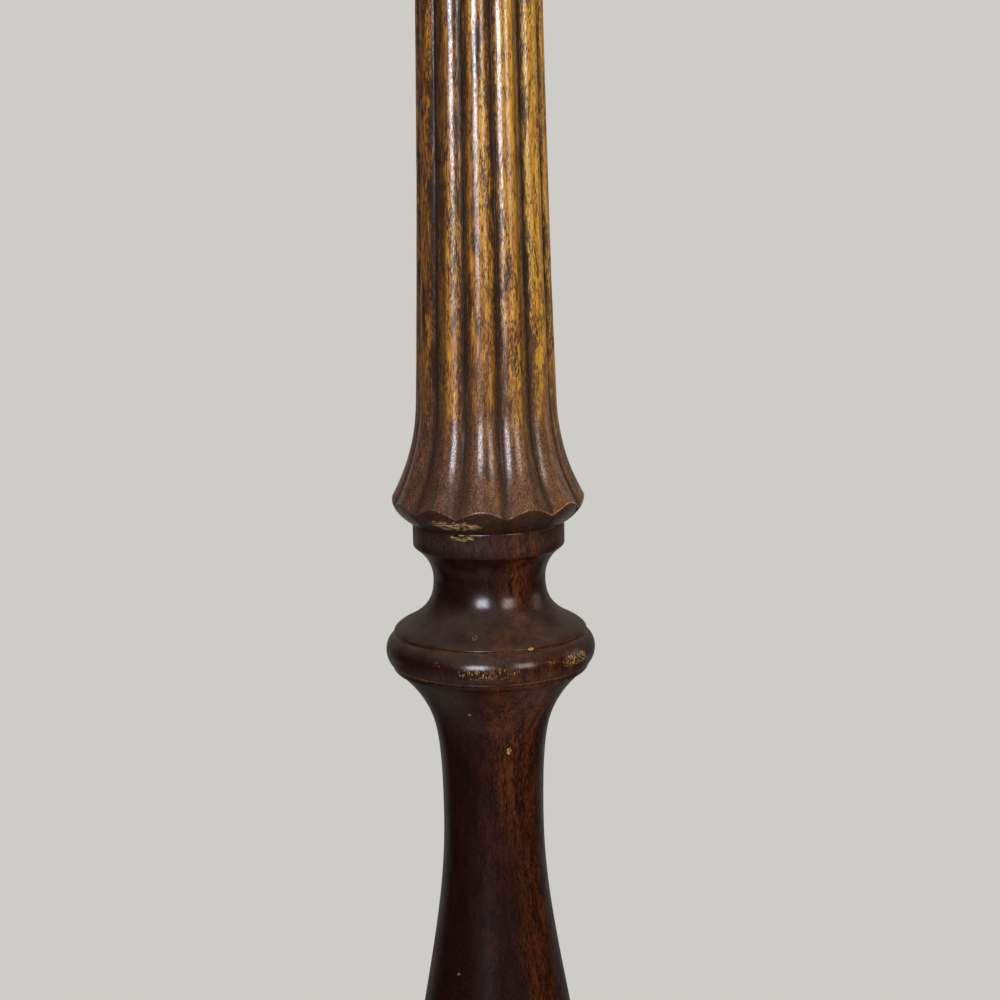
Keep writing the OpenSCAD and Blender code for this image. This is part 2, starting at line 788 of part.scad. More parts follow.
// The body stands on the cap's hub with a hollow foot round the pipe's end
module socket_body() {
    foot_bore = pipe_r + free_gap;
    color(phenolic) difference() {
        turned([
            [foot_bore, socket_z + cap_hub_h], [cap_hub_r - 0.3, socket_z + cap_hub_h],
            [cap_hub_r - 0.3, body_z - 3], [body_r, body_z], [body_r, body_z + body_h],
            [0, body_z + body_h], [0, body_z - 2], [foot_bore, body_z - 2]]);
        translate([0, -body_r + shaft_in + turn_gap, key_z]) {
            rotate([90, 0, 0]) cylinder(r = key_shaft_r + turn_gap, h = shaft_in + 1);
        }
        for (side = [-1, 1]) translate([side * (body_r + 2), 0, body_z + terminal_rise]) {
            rotate([0, -side * 90, 0]) cylinder(r = terminal_r + 0.3, h = 5);
        }
    }
}

terminal_r = 2.8;
terminal_rise = 10;
terminal_h = 1.8;

module terminal_screws() {
    color(brass) for (side = [-1, 1]) {
        translate([side * (body_r - 3), 0, body_z + terminal_rise]) {
            rotate([0, side * 90, 0]) cylinder(r = terminal_r, h = terminal_h);
        }
    }
}

module screw_shell() {
    color(nickel) ring(lamp_r + 0.5, lamp_r, screw_shell_z, screw_shell_h);
}

module centre_contact() {
    color(brass) union() {
        ring(4, 0, screw_shell_z, 1);
        ring(2.4, 0, screw_shell_z + 0.9, contact_z - screw_shell_z - 0.9);
    }
}

module switch_shaft() {
    start = body_r - shaft_in;
    color(steel) translate([0, -start, key_z]) rotate([90, 0, 0]) {
        cylinder(r = key_shaft_r, h = key_tip - start);
    }
}

key_tip = shell_r + 10;
key_t = 4.5;

// A flat key with rounded ends on a round hub, as on a turn-knob socket
module switch_key() {
    color(phenolic) translate([0, -(key_tip - 4), key_z]) rotate([90, 0, 0]) difference() {
        union() {
            cylinder(r = key_shaft_r + 2.2, h = 6);
            intersection() {
                translate([-key_r, -key_t / 2, 4]) cube([2 * key_r, key_t, key_h]);
                translate([0, 0, 4 + key_h - key_r]) rotate([90, 0, 0]) {
                    translate([0, 0, -key_t]) cylinder(r = key_r, h = 2 * key_t);
                }
            }
        }
        translate([0, 0, -1]) cylinder(r = key_shaft_r, h = 5);
    }
}

// ---------------------------------------------------------------- the bulb

bulb_z = contact_z + free_gap;
cap_z = bulb_z + 3;
cap_len = 24;
cap_r = lamp_r - free_gap;
cap_t = 0.6;
globe_z = bulb_z + bulb_h - bulb_r;

// The glass's outline, drawn in by t, from its neck in the cap to its crown on the axis
function globe(t) =
    let (neck = [cap_r - cap_t - t, cap_z + cap_len], side = [bulb_r - t, globe_z])
    concat(
        [neck - [0, 12], neck],
        curve(neck, 90, side, 90, 0.38, 0.5, 12),
        curve(side, 90, [0, globe_z + bulb_r - t], 180, 0.39, 0.39, 10));

module bulb_glass() {
    outer = globe(0);
    inner = globe(glass_t);
    last = len(inner) - 1;
    color([0.95, 0.95, 0.92, 0.6]) turned(concat(outer, [for (i = [last : -1 : 0]) inner[i]]));
}

module bulb_cap() {
    color(nickel) ring(cap_r, cap_r - cap_t, cap_z, cap_len);
}

module bulb_insulator() {
    color(phenolic) turned([
        [contact_button_r, bulb_z + 0.8], [6, bulb_z + 0.8], [cap_r - cap_t, cap_z],
        [cap_r - cap_t, cap_z + 2.5], [contact_button_r, cap_z + 2.5]]);
}

contact_button_r = 3.2;

module bulb_contact() {
    color(brass) ring(contact_button_r, 0, bulb_z, 3);
}

mount_r = 3;
mount_z = cap_z + cap_len - 11;
mount_h = 40;

// The glass foot inside the bulb's neck, with the post that carries the filament
module bulb_mount() {
    neck_in = cap_r - cap_t - glass_t;
    color("#dfe6e4") turned(concat(
        [[0, mount_z], [neck_in, mount_z], [neck_in, mount_z + 1.2]],
        curve([neck_in, mount_z + 1.2], 170, [mount_r, mount_z + 16], 90, 0.5, 0.5, 6),
        [[mount_r, mount_z + mount_h], [0, mount_z + mount_h]]));
}

filament_half = 14;
lead_r = 0.4;
lead_h = 24;
lead_tilt = 30;

module bulb_filament() {
    foot = mount_z + mount_h + lead_r * sin(lead_tilt);
    color(steel) union() {
        for (side = [-1, 1]) translate([side * mount_r / 2, 0, foot]) {
            rotate([0, side * lead_tilt, 0]) cylinder(r = lead_r, h = lead_h);
        }
        translate([-filament_half, 0, foot + lead_h * cos(lead_tilt) - lead_r]) {
            rotate([0, 90, 0]) cylinder(r = lead_r + 0.1, h = 2 * filament_half);
        }
    }
}

// ---------------------------------------------------------------- the shade

shade_top_z = hub_z + spider_drop;
shade_foot_z = shade_top_z - shade_h;
shade_lean = atan((shade_bottom_r - shade_top_r) / shade_h);
shade_wire_r = 1.6;

// Outer radius of the shade's liner at height z
function shade_wall(z) =
    shade_top_r + (shade_bottom_r - shade_top_r) * (shade_top_z - z) / shade_h;

// A band of the shade's wall from z0 to z1, between two distances out from the liner's face
module wall_band(z0, z1, inside, outside) {
    turned([
        [shade_wall(z0) + inside, z0], [shade_wall(z0) + outside, z0],
        [shade_wall(z1) + outside, z1], [shade_wall(z1) + inside, z1]]);
}

// A wire ring that lies inside the liner at height z, a line of glue away from it
glue_t = 0.05;
function hoop_r(z) = shade_wall(z) - liner_t - glue_t - shade_wire_r / cos(shade_lean);

module hoop(z) {
    rotate_extrude() translate([hoop_r(z), z]) circle(r = shade_wire_r, $fn = 24);
}

// The washer that sits on the harp's boss, the arms that rise from it, and the top ring
module shade_spider() {
    arm_r = shade_wire_r - 0.2;
    hub_r = boss_r + 6;
    start = [hub_r - 1, hub_z + hub_t + arm_r - 1];
    end = [hoop_r(shade_top_z - shade_wire_r), shade_top_z - shade_wire_r];
    run = end - start;
    color(brass) union() {
        hoop(end[1]);
        ring(hub_r, stud_r + free_gap, hub_z, hub_t);
        for (i = [0 : 2]) rotate([0, 0, 90 + 120 * i]) translate([start[0], 0, start[1]]) {
            rotate([0, atan2(run[0], run[1]), 0]) cylinder(r = arm_r, h = norm(run));
        }
    }
}

module shade_bottom_ring() {
    color(brass) hoop(shade_foot_z + shade_wire_r);
}

module shade_liner() {
    color("#efe8d8") wall_band(shade_foot_z, shade_top_z, -liner_t, 0);
}

module shade_linen() {
    color(linen) wall_band(shade_foot_z, shade_top_z, 0, linen_t);
}

// Tape round an edge: a band on the linen, and a lip over the edge to the liner's inner face
module edge_tape(edge_z, up) {
    band_z = edge_z - up * tape_w;
    color("#c8b48c") union() {
        wall_band(min(band_z, edge_z), max(band_z, edge_z), linen_t, linen_t + tape_t);
        wall_band(min(edge_z, edge_z + up * tape_t), max(edge_z, edge_z + up * tape_t),
            -liner_t, linen_t + tape_t);
    }
}

module shade_tape_top() {
    edge_tape(shade_top_z, 1);
}

module shade_tape_bottom() {
    edge_tape(shade_foot_z, -1);
}

// ---------------------------------------------------------------- the nodes

for (i = feet) foot(i);
for (i = feet) foot_pad(i);
base_disc();
base_riser();
ballast_weight();
ballast_screws();
baize_cover();
cord_bush();
bottom_washer();
bottom_nut();
lower_pipe();
pipe_coupling();
upper_pipe();
baluster_stem();
reeded_column();
capital();
candle_cup();
check_ring();
harp_saddle();
harp_bow();
harp_stud();
harp_sleeve(-sleeve_x);  // harp_sleeve_left
harp_sleeve(sleeve_x);  // harp_sleeve_right
finial();
socket_cap();
socket_set_screw();
socket_shell();
insulating_sleeve();
socket_body();
screw_shell();
centre_contact();
terminal_screws();
switch_shaft();
switch_key();
bulb_glass();
bulb_cap();
bulb_insulator();
bulb_contact();
bulb_mount();
bulb_filament();
shade_spider();
shade_bottom_ring();
shade_liner();
shade_linen();
shade_tape_top();
shade_tape_bottom();
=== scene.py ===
"""Looks of a turned candlestick floor lamp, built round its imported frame.

Sizes in the classes are in millimetres, as on a turner's drawing, and the meshes are made in
metres. The place of every piece is in its mesh: +Z is up, the floor is z = 0, -Y is the front.
"""

import logging
import math
from collections.abc import Callable, Sequence
from dataclasses import dataclass, field
from enum import Enum
from functools import cache, reduce

import bpy
import numpy as np
from bpy.types import ID, Material, Mesh, Node, NodeSocket, NodeTree, Object
from mathutils import Matrix, Vector


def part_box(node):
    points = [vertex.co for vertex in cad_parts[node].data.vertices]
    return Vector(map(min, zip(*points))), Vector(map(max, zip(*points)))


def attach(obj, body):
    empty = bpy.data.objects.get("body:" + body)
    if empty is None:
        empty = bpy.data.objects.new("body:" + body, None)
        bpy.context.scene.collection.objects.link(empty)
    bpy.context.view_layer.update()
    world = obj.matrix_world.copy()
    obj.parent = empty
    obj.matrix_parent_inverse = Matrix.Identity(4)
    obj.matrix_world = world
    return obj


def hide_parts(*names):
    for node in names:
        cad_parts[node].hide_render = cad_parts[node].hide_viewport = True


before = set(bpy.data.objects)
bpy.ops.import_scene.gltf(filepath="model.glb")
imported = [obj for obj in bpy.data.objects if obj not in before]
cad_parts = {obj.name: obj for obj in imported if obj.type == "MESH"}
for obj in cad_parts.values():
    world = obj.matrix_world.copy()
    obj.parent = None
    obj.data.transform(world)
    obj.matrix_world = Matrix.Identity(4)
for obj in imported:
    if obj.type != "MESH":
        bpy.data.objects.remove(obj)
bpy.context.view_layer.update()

MM = 0.001
ON_AXIS = 0.01  # A point nearer the axis than this, in millimetres, lies on it.
FULL_TURN = 2 * math.pi
ORIGIN = (0.0, 0.0, 0.0)
LOG = logging.getLogger("floor_lamp")

Colour = tuple[float, float, float, float]
Point = tuple[float, float]
Triple = tuple[float, float, float]


def srgb(red: int, green: int, blue: int) -> Colour:
    """Turn an 8 bit screen colour into the linear colour that a shader takes.

    Args:
        red: Red, from 0 to 255.
        green: Green, from 0 to 255.
        blue: Blue, from 0 to 255.

    Returns:
        The linear colour with an alpha of 1.
    """
    def linear(level: float) -> float:
        """Undo the screen's gamma."""
        return level / 12.92 if level <= 0.04045 else ((level + 0.055) / 1.055) ** 2.4

    return linear(red / 255), linear(green / 255), linear(blue / 255), 1.0


def foot_of(node: str) -> float:
    """Height of a CAD node's lowest point, in millimetres."""
    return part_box(node)[0].z / MM


def top_of(node: str) -> float:
    """Height of a CAD node's highest point, in millimetres."""
    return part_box(node)[1].z / MM


def level(node: str, of: Callable[[str], float] = foot_of) -> float:
    """A dataclass field that holds a height of a CAD node, its foot's or its top's."""
    return field(default_factory=lambda: of(node))


def spokes(count: int) -> np.ndarray:
    """Angles of a full turn in equal steps, in radians."""
    return np.arange(count) * FULL_TURN / count


# ---- node trees

def formula(operation: str, swapped: bool = False) -> Callable[..., "Num"]:
    """Make a method of Num that adds a Math node.

    Args:
        operation: What the node does.
        swapped: Whether the other number comes first.

    Returns:
        The method. It takes the node's other number, where it has one, and gives the result.
    """
    def method(self: "Num", *other: "Value") -> "Num":
        """The node's result."""
        return self.tree.math(operation, *((*other, self) if swapped else (self, *other)))

    return method


class Num:
    """A number that varies over a surface, so that formulas in node trees read as formulas."""

    def __init__(self, tree: "Tree", socket: NodeSocket) -> None:
        """Keep the tree that the number belongs to and the socket that gives it."""
        self.tree = tree
        self.socket = socket

    __add__ = __radd__ = formula("ADD")
    __sub__ = formula("SUBTRACT")
    __rsub__ = formula("SUBTRACT", swapped=True)
    __mul__ = __rmul__ = formula("MULTIPLY")
    __truediv__ = formula("DIVIDE")
    __rtruediv__ = formula("DIVIDE", swapped=True)
    __pow__ = formula("POWER")
    __abs__ = formula("ABSOLUTE")
    least, most = formula("MINIMUM"), formula("MAXIMUM")
    over = formula("GREATER_THAN")
    sine, cosine = formula("SINE"), formula("COSINE")
    root, exponent = formula("SQRT"), formula("EXPONENT")

    def __neg__(self) -> "Num":
        """Change the sign."""
        return self * -1.0

    def within(self) -> "Num":
        """The number, kept from 0 to 1."""
        return self.most(0.0).least(1.0)

    def step(self, low: float, high: float, to: Point = (0.0, 1.0)) -> "Num":
        """Rise smoothly from the first value of to, at low, to the second one, at high.

        Args:
            low: Where the rise starts.
            high: Where it ends, which may be below low.
            to: The values before and after the rise.

        Returns:
            The number after the rise.
        """
        (first, before), (last, after) = sorted(zip((low, high), to))
        node = self.tree.node(
            "ShaderNodeMapRange", {
                "Value": self, "From Min": first, "From Max": last,
                "To Min": before, "To Max": after}, interpolation_type="SMOOTHSTEP")
        return Num(self.tree, node.outputs[0])


Value = Num | NodeSocket | Node | Material | float | int | Sequence[float]
Inputs = dict[str | int, Value]
Numbers = dict[str, Num]


class Tree:
    """A short way of writing shader and geometry node trees."""

    def __init__(self, data: NodeTree) -> None:
        """Write into a node tree."""
        self.data = data

    def put(self, socket: NodeSocket, value: Value) -> None:
        """Link a value to a socket, or set it there.

        Args:
            socket: The input.
            value: A number or socket of this tree, a node for its first output, or a setting.
        """
        if isinstance(value, Node):
            value = value.outputs[0]
        source = value.socket if isinstance(value, Num) else value
        if isinstance(source, NodeSocket):
            self.data.links.new(source, socket)
        else:
            socket.default_value = source

    @staticmethod
    def socket(sockets: Sequence[NodeSocket], key: str | int) -> NodeSocket:
        """Find a socket.

        Args:
            sockets: A node's inputs or outputs.
            key: The socket's identifier, name or place.

        Returns:
            The socket.
        """
        if isinstance(key, int):
            return sockets[key]
        named = [s for s in sockets if s.identifier == key]
        return (named or [s for s in sockets if s.name == key])[0]

    def fill(self, node: Node, inputs: Inputs) -> None:
        """Link or set a node's inputs, by identifier, name or place."""
        for key, value in inputs.items():
            self.put(self.socket(node.inputs, key), value)

    def node(self, kind: str, inputs: Inputs | None = None,
             **settings: object) -> Node:
        """Add a node.

        Args:
            kind: The node's type.
            inputs: Values of its inputs, by identifier, name or place.
            settings: Properties of the node.

        Returns:
            The new node.
        """
        node = self.data.nodes.new(kind)
        for name, setting in settings.items():
            setattr(node, name, setting)
        self.fill(node, inputs or {})
        return node

    def numbers(self, kind: str, inputs: Inputs | None = None,
                **settings: object) -> Numbers:
        """Add a node and give its outputs as numbers by name."""
        node = self.node(kind, inputs, **settings)
        return {socket.name: Num(self, socket) for socket in node.outputs if socket.name}

    def use(self, group: Callable[[], NodeTree], inputs: Inputs) -> Numbers:
        """Place a shader node group and give its outputs by name."""
        return self.numbers("ShaderNodeGroup", inputs, node_tree=group())

    def math(self, operation: str, *values: Value) -> Num:
        """A Math node's result."""
        node = self.node("ShaderNodeMath", dict(enumerate(values)), operation=operation)
        return Num(self, node.outputs[0])

    def arrow(self, operation: str, *values: Value, out: int = 0) -> NodeSocket:
        """A Vector Math node's result."""
        node = self.node("ShaderNodeVectorMath", dict(enumerate(values)), operation=operation)
        return node.outputs[out]

    def scaled(self, vector: Value, factor: Value) -> NodeSocket:
        """A vector times a number."""
        return self.arrow("SCALE", vector, ORIGIN, ORIGIN, factor)

    def vector(self, x: Value, y: Value, z: Value) -> NodeSocket:
        """A vector from three numbers."""
        return self.node("ShaderNodeCombineXYZ", {0: x, 1: y, 2: z}).outputs[0]

    def axes(self, vector: Value) -> tuple[Num, Num, Num]:
        """A vector's three numbers."""
        return tuple(self.numbers("ShaderNodeSeparateXYZ", {0: vector}).values())

    def mix(self, share: Value, first: Value, second: Value) -> NodeSocket:
        """Mix two colours.

        Args:
            share: 0 for the first colour, 1 for the second.
            first: The first colour.
            second: The second colour.

        Returns:
            The mixed colour.
        """
        node = self.node(
            "ShaderNodeMix",
            {"Factor_Float": share, "A_Color": first, "B_Color": second}, data_type="RGBA")
        return self.socket(node.outputs, "Result_Color")

    def layers(self, ground: Value, *layers: tuple[Value, Value]) -> Value:
        """Lay colours over a ground in turn, each with the share that it covers."""
        return reduce(lambda below, layer: self.mix(layer[0], below, layer[1]), layers, ground)

    def noise(self, place: Value, size: float = 1.0, detail: float = 2.0,
              roughness: float = 0.5, warp: float = 0.0) -> Num:
        """Smooth noise from 0 to 1.

        Args:
            place: Where it is read, or the features' sizes along x, y and z in millimetres.
            size: How much longer the features are than place says.
            detail: How many finer layers lie over it.
            roughness: How strong those are.
            warp: How much they bend it.

        Returns:
            The noise.
        """
        if isinstance(place, tuple):
            place = self.place(place)
        node = self.node("ShaderNodeTexNoise", {
            "Vector": place, "Scale": 1.0 / size, "Detail": detail, "Roughness": roughness,
            "Distortion": warp})
        return Num(self, node.outputs[0])

    def place(self, scale: Triple = (1.0, 1.0, 1.0)) -> NodeSocket:
        """Object coordinates in millimetres, each divided by its part of scale."""
        where = self.node("ShaderNodeTexCoord").outputs["Object"]
        return self.arrow("MULTIPLY", where, tuple(1.0 / (MM * size) for size in scale))

    def attribute(self, name: str) -> Num:
        """A number stored on the mesh."""
        return self.numbers("ShaderNodeAttribute", attribute_name=name)["Fac"]

    def bump(self, height: Value, distance: float, strength: float = 1.0,
             normal: Value | None = None) -> NodeSocket:
        """Push the surface's normal by a height.

        Args:
            height: The height, from 0 to 1.
            distance: How far 1 stands out, in millimetres.
            strength: How much of it shows.
            normal: A normal that was pushed before.

        Returns:
            The new normal.
        """
        below: Inputs = {} if normal is None else {"Normal": normal}
        return self.node("ShaderNodeBump", {
            "Height": height, "Distance": distance * MM, "Strength": strength,
            **below}).outputs[0]

    def add_input(self, label: str, kind: str, value: Value | None = None) -> str:
        """Give the tree itself an input.

        Args:
            label: The input's name.
            kind: Type of its socket.
            value: Its default value.

        Returns:
            The input's identifier.
        """
        socket = self.data.interface.new_socket(name=label, in_out="INPUT", socket_type=kind)
        if value is not None:
            socket.default_value = value
        return socket.identifier

    def inputs(self) -> Numbers:
        """The tree's own inputs by name."""
        return self.numbers("NodeGroupInput")


SOCKETS = {float: "NodeSocketFloat", int: "NodeSocketInt", tuple: "NodeSocketVector"}
Writer = Callable[[Tree, Numbers], Inputs]


def shader_group(name: str, **sizes: float | Triple) -> Callable[
        [Writer], Callable[[], NodeTree]]:
    """Turn a function that writes nodes into one that gives their node group, built once.

    Args:
        name: The group's name.
        sizes: Default values of its inputs, with _ for a space in their names.

    Returns:
        The decorator.
    """
    def decorate(write: Writer) -> Callable[[], NodeTree]:
        """Wrap the function.

        Args:
            write: Writes the nodes from the inputs, and gives the outputs.

        Returns:
            The function that gives the group.
        """
        @cache
        def build() -> NodeTree:
            """Build the group.

            Returns:
                Its tree.
            """
            tree = Tree(bpy.data.node_groups.new(name, "ShaderNodeTree"))
            for label, value in sizes.items():
                tree.add_input(label.replace("_", " "), SOCKETS[type(value)], value)
            results = write(tree, tree.inputs())
            for label in results:
                tree.data.interface.new_socket(
                    name=label, in_out="OUTPUT", socket_type="NodeSocketFloat")
            tree.node("NodeGroupOutput", results)
            return tree.data

        return build

    return decorate


@shader_group("wood_grain", Place=ORIGIN, Width=3.2, Length=60.0, Contrast=2.4,
              Pore_width=0.45, Pore_length=2.8, Crowding=0.0)
def grain_group(tree: Tree, given: Numbers) -> Inputs:
    """Wood grain along z: long streaks, fine dark pore flecks that crowd together, and clouds.

    Args:
        tree: The group's tree.
        given: Its inputs.

    Returns:
        Its outputs.
    """
    x, y, z = tree.axes(given["Place"])
    drift = tree.noise(tree.vector(x / 30.0, y / 30.0, z / 110.0), detail=1.0) - 0.5
    x, y = x + drift * 16.0, y + drift * 11.0

    def layer(width: float | Num, length: float | Num, detail: float = 3.0,
              roughness: float = 0.5) -> Num:
        """Noise with features of a width and a length."""
        return tree.noise(tree.vector(x / width, y / width, z / length),
                          detail=detail, roughness=roughness)

    width, length = given["Width"], given["Length"]
    broad = layer(width, length, roughness=0.62)
    fine = layer(width * 0.17, length * 0.1, roughness=0.65)
    streak = (broad * 0.5 + fine * 0.5 - 0.5) * given["Contrast"] + 0.5
    dash = layer(given["Pore width"], given["Pore length"], 2.0, 0.6)
    crowd = layer(3.6, 14.0, 4.0, 0.7)
    pore = (dash + (crowd - 0.5) * 0.8 + given["Crowding"]).step(0.53, 0.64)
    return {"Streak": streak.within(), "Pore": pore, "Cloud": layer(26.0, 120.0)}


@shader_group("edge_rub", Place=ORIGIN, Edge=0.0, Amount=1.0, Size=2.5)
def rub_group(tree: Tree, given: Numbers) -> Inputs:
    """Where handling has rubbed the finish off the edges, in broken lengths.

    Args:
        tree: The group's tree.
        given: Its inputs.

    Returns:
        Its outputs.
    """
    place, size = given["Place"], given["Size"]
    spot = tree.noise(tree.scaled(place, 1.0 / size), detail=4.0, roughness=0.65)
    run = tree.noise(tree.scaled(place, 0.12 / size))
    wear = given["Edge"] * given["Amount"] + spot * 0.7 + run * 0.6 - 1.3
    return {"Mask": wear.step(0.0, 0.16)}


@shader_group("worn_patch", Place=ORIGIN, Centre=ORIGIN, Reach=(5.0, 5.0, 2.0),
              Chip=(1.5, 1.5, 1.0), Amount=0.5)
def patch_group(tree: Tree, given: Numbers) -> Inputs:
    """A patch of chips or scratches round one place on the surface.

    Args:
        tree: The group's tree.
        given: Its inputs.

    Returns:
        Its outputs.
    """
    offset = tree.arrow("SUBTRACT", given["Place"], given["Centre"])
    share = tree.arrow("DIVIDE", offset, given["Reach"])
    near = Num(tree, tree.arrow("LENGTH", share, out=1)).step(1.0, 0.35)
    chip = tree.noise(tree.arrow("DIVIDE", given["Place"], given["Chip"]),
                      detail=4.0, roughness=0.6)
    return {"Mask": (chip * 0.8 + near * given["Amount"]).step(0.93, 1.0) * near.over(0.02)}


@shader_group("settled_bloom", Place=ORIGIN, Amount=0.5)
def bloom_group(tree: Tree, given: Numbers) -> Inputs:
    """Haze of wax and dust that lies on the surfaces that face up.

    Args:
        tree: The group's tree.
        given: Its inputs.

    Returns:
        Its outputs.
    """
    up = tree.axes(tree.node("ShaderNodeNewGeometry").outputs["Normal"])[2]
    patchy = tree.noise(tree.scaled(given["Place"], 0.09), detail=5.0, roughness=0.7)
    return {"Mask": up.step(0.15, 0.95) * patchy.step(0.3, 0.75, (0.35, 1.0))
            * given["Amount"]}


@shader_group("tarnish", Place=ORIGIN, Size=9.0)
def tarnish_group(tree: Tree, given: Numbers) -> Inputs:
    """Stains, specks and fine scratches on metal and hard mouldings.

    Args:
        tree: The group's tree.
        given: Its inputs.

    Returns:
        Its outputs.
    """
    small = tree.scaled(given["Place"], 1.0 / given["Size"])
    stain = tree.noise(small, detail=5.0, roughness=0.62, warp=0.4)
    x, y, z = tree.axes(given["Place"])
    fine = tree.noise(tree.vector(x / 0.5, y / 0.5, z / 0.09), roughness=0.7)
    speck = tree.noise(given["Place"], 0.7, detail=3.0, roughness=0.6)
    return {"Stain": stain.step(0.38, 0.68), "Scratch": fine, "Speck": speck.step(0.6, 0.72)}


@shader_group("plain_weave", Cloth=ORIGIN, Thread=0.9)
def weave_group(tree: Tree, given: Numbers) -> Inputs:
    """A plain weave on a flat cloth whose coordinates are in metres.

    Args:
        tree: The group's tree.
        given: Its inputs.

    Returns:
        Its outputs.
    """
    along, across, _ = tree.axes(given["Cloth"])
    pitch = given["Thread"] * MM
    start = tree.noise(tree.vector(0.0, across / (pitch * 0.7), 3.3)) * 40.0
    start_across = tree.noise(tree.vector(along / (pitch * 0.7), 0.0, 5.1)) * 40.0
    slub = tree.noise(
        tree.vector(along / (pitch * 24.0) + start, across / (pitch * 0.9), 0.0))
    slub_across = tree.noise(
        tree.vector(along / (pitch * 0.9), across / (pitch * 24.0) + start_across, 7.0))
    u, v = along / pitch * math.pi, across / pitch * math.pi
    over, swell = u.sine() * v.sine(), (0.7, 1.15)
    warp = abs(v.cosine()) * over.step(-0.4, 0.4) * slub.step(0.2, 0.8, swell)
    weft = abs(u.cosine()) * over.step(0.4, -0.4) * slub_across.step(0.2, 0.8, swell)
    tone = slub.step(0.35, 0.75) * 0.5 + slub_across.step(0.35, 0.75) * 0.5
    return {"Height": warp.most(weft), "Tone": tone}


# ---- finishes

class Finish:
    """A surface finish that is built once as a node material."""

    name: str
    made: dict[str, Material] = {}

    def paint(self, tree: Tree, surface: Node) -> None:
        """Write the nodes that feed the surface shader, in the material's tree."""
        raise NotImplementedError

    def material(self) -> Material:
        """Build the finish, or give it as it was built before.

        Returns:
            The material.
        """
        if self.name not in Finish.made:
            material = bpy.data.materials.new(self.name)
            material.use_nodes = True
            surface = material.node_tree.nodes["Principled BSDF"]
            self.paint(Tree(material.node_tree), surface)
            Finish.made[self.name] = material
        return Finish.made[self.name]


@dataclass(frozen=True)
class Patch:
    """A worn place, by its turn right of the front, radius, height and reach in millimetres."""

    turn: float
    radius: float
    height: float
    reach: Triple
    chip: Triple = (1.4, 1.4, 0.7)
    amount: float = 0.5
    strength: float = 0.9

    def centre(self) -> Triple:
        """The place in millimetres."""
        angle = math.radians(self.turn)
        return self.radius * math.sin(angle), -self.radius * math.cos(angle), self.height


class Wood(Finish):
    """What the two wood finishes share."""

    patches: tuple[Patch, ...]

    def chips(self, tree: Tree, place: Value) -> Num:
        """Write the worn patches.

        Args:
            tree: The material's tree.
            place: Place on the piece in millimetres.

        Returns:
            1 where wear has gone through the finish, else 0.
        """
        return reduce(Num.most, [
            tree.use(patch_group, {
                "Place": place, "Centre": patch.centre(), "Reach": patch.reach,
                "Chip": patch.chip, "Amount": patch.amount})["Mask"] * patch.strength
            for patch in self.patches])

    @staticmethod
    def varnish(tree: Tree, surface: Node, weight: Num, rough: float,
                ior: float = 1.55, under: float = 0.02) -> None:
        """Coat the wood with old varnish, which is dull where it is seen from the side.

        Args:
            tree: The material's tree.
            surface: Its surface shader.
            weight: How whole the varnish is.
            rough: Its roughness.
            ior: Its refraction.
            under: How much the wood under it mirrors.
        """
        side = tree.numbers("ShaderNodeLayerWeight", {"Blend": 0.5})["Facing"] ** 0.8
        tree.fill(surface, {
            "Coat Weight": weight * (1.0 - side), "Coat Roughness": rough, "Coat IOR": ior,
            "Specular IOR Level": under})

    @staticmethod
    def hill(z: Num, middle: float, reach: float) -> Num:
        """1 at a height, falling to 0 away from it."""
        return (-((z - middle) / reach) ** 2.0).exponent()

    @staticmethod
    def turn_and_height(tree: Tree, place: Value) -> tuple[Num, Num]:
        """Angle of a place right of the front, in degrees, and its height."""
        x, y, z = tree.axes(place)
        return tree.math("ARCTAN2", x, -y) * math.degrees(1.0), z


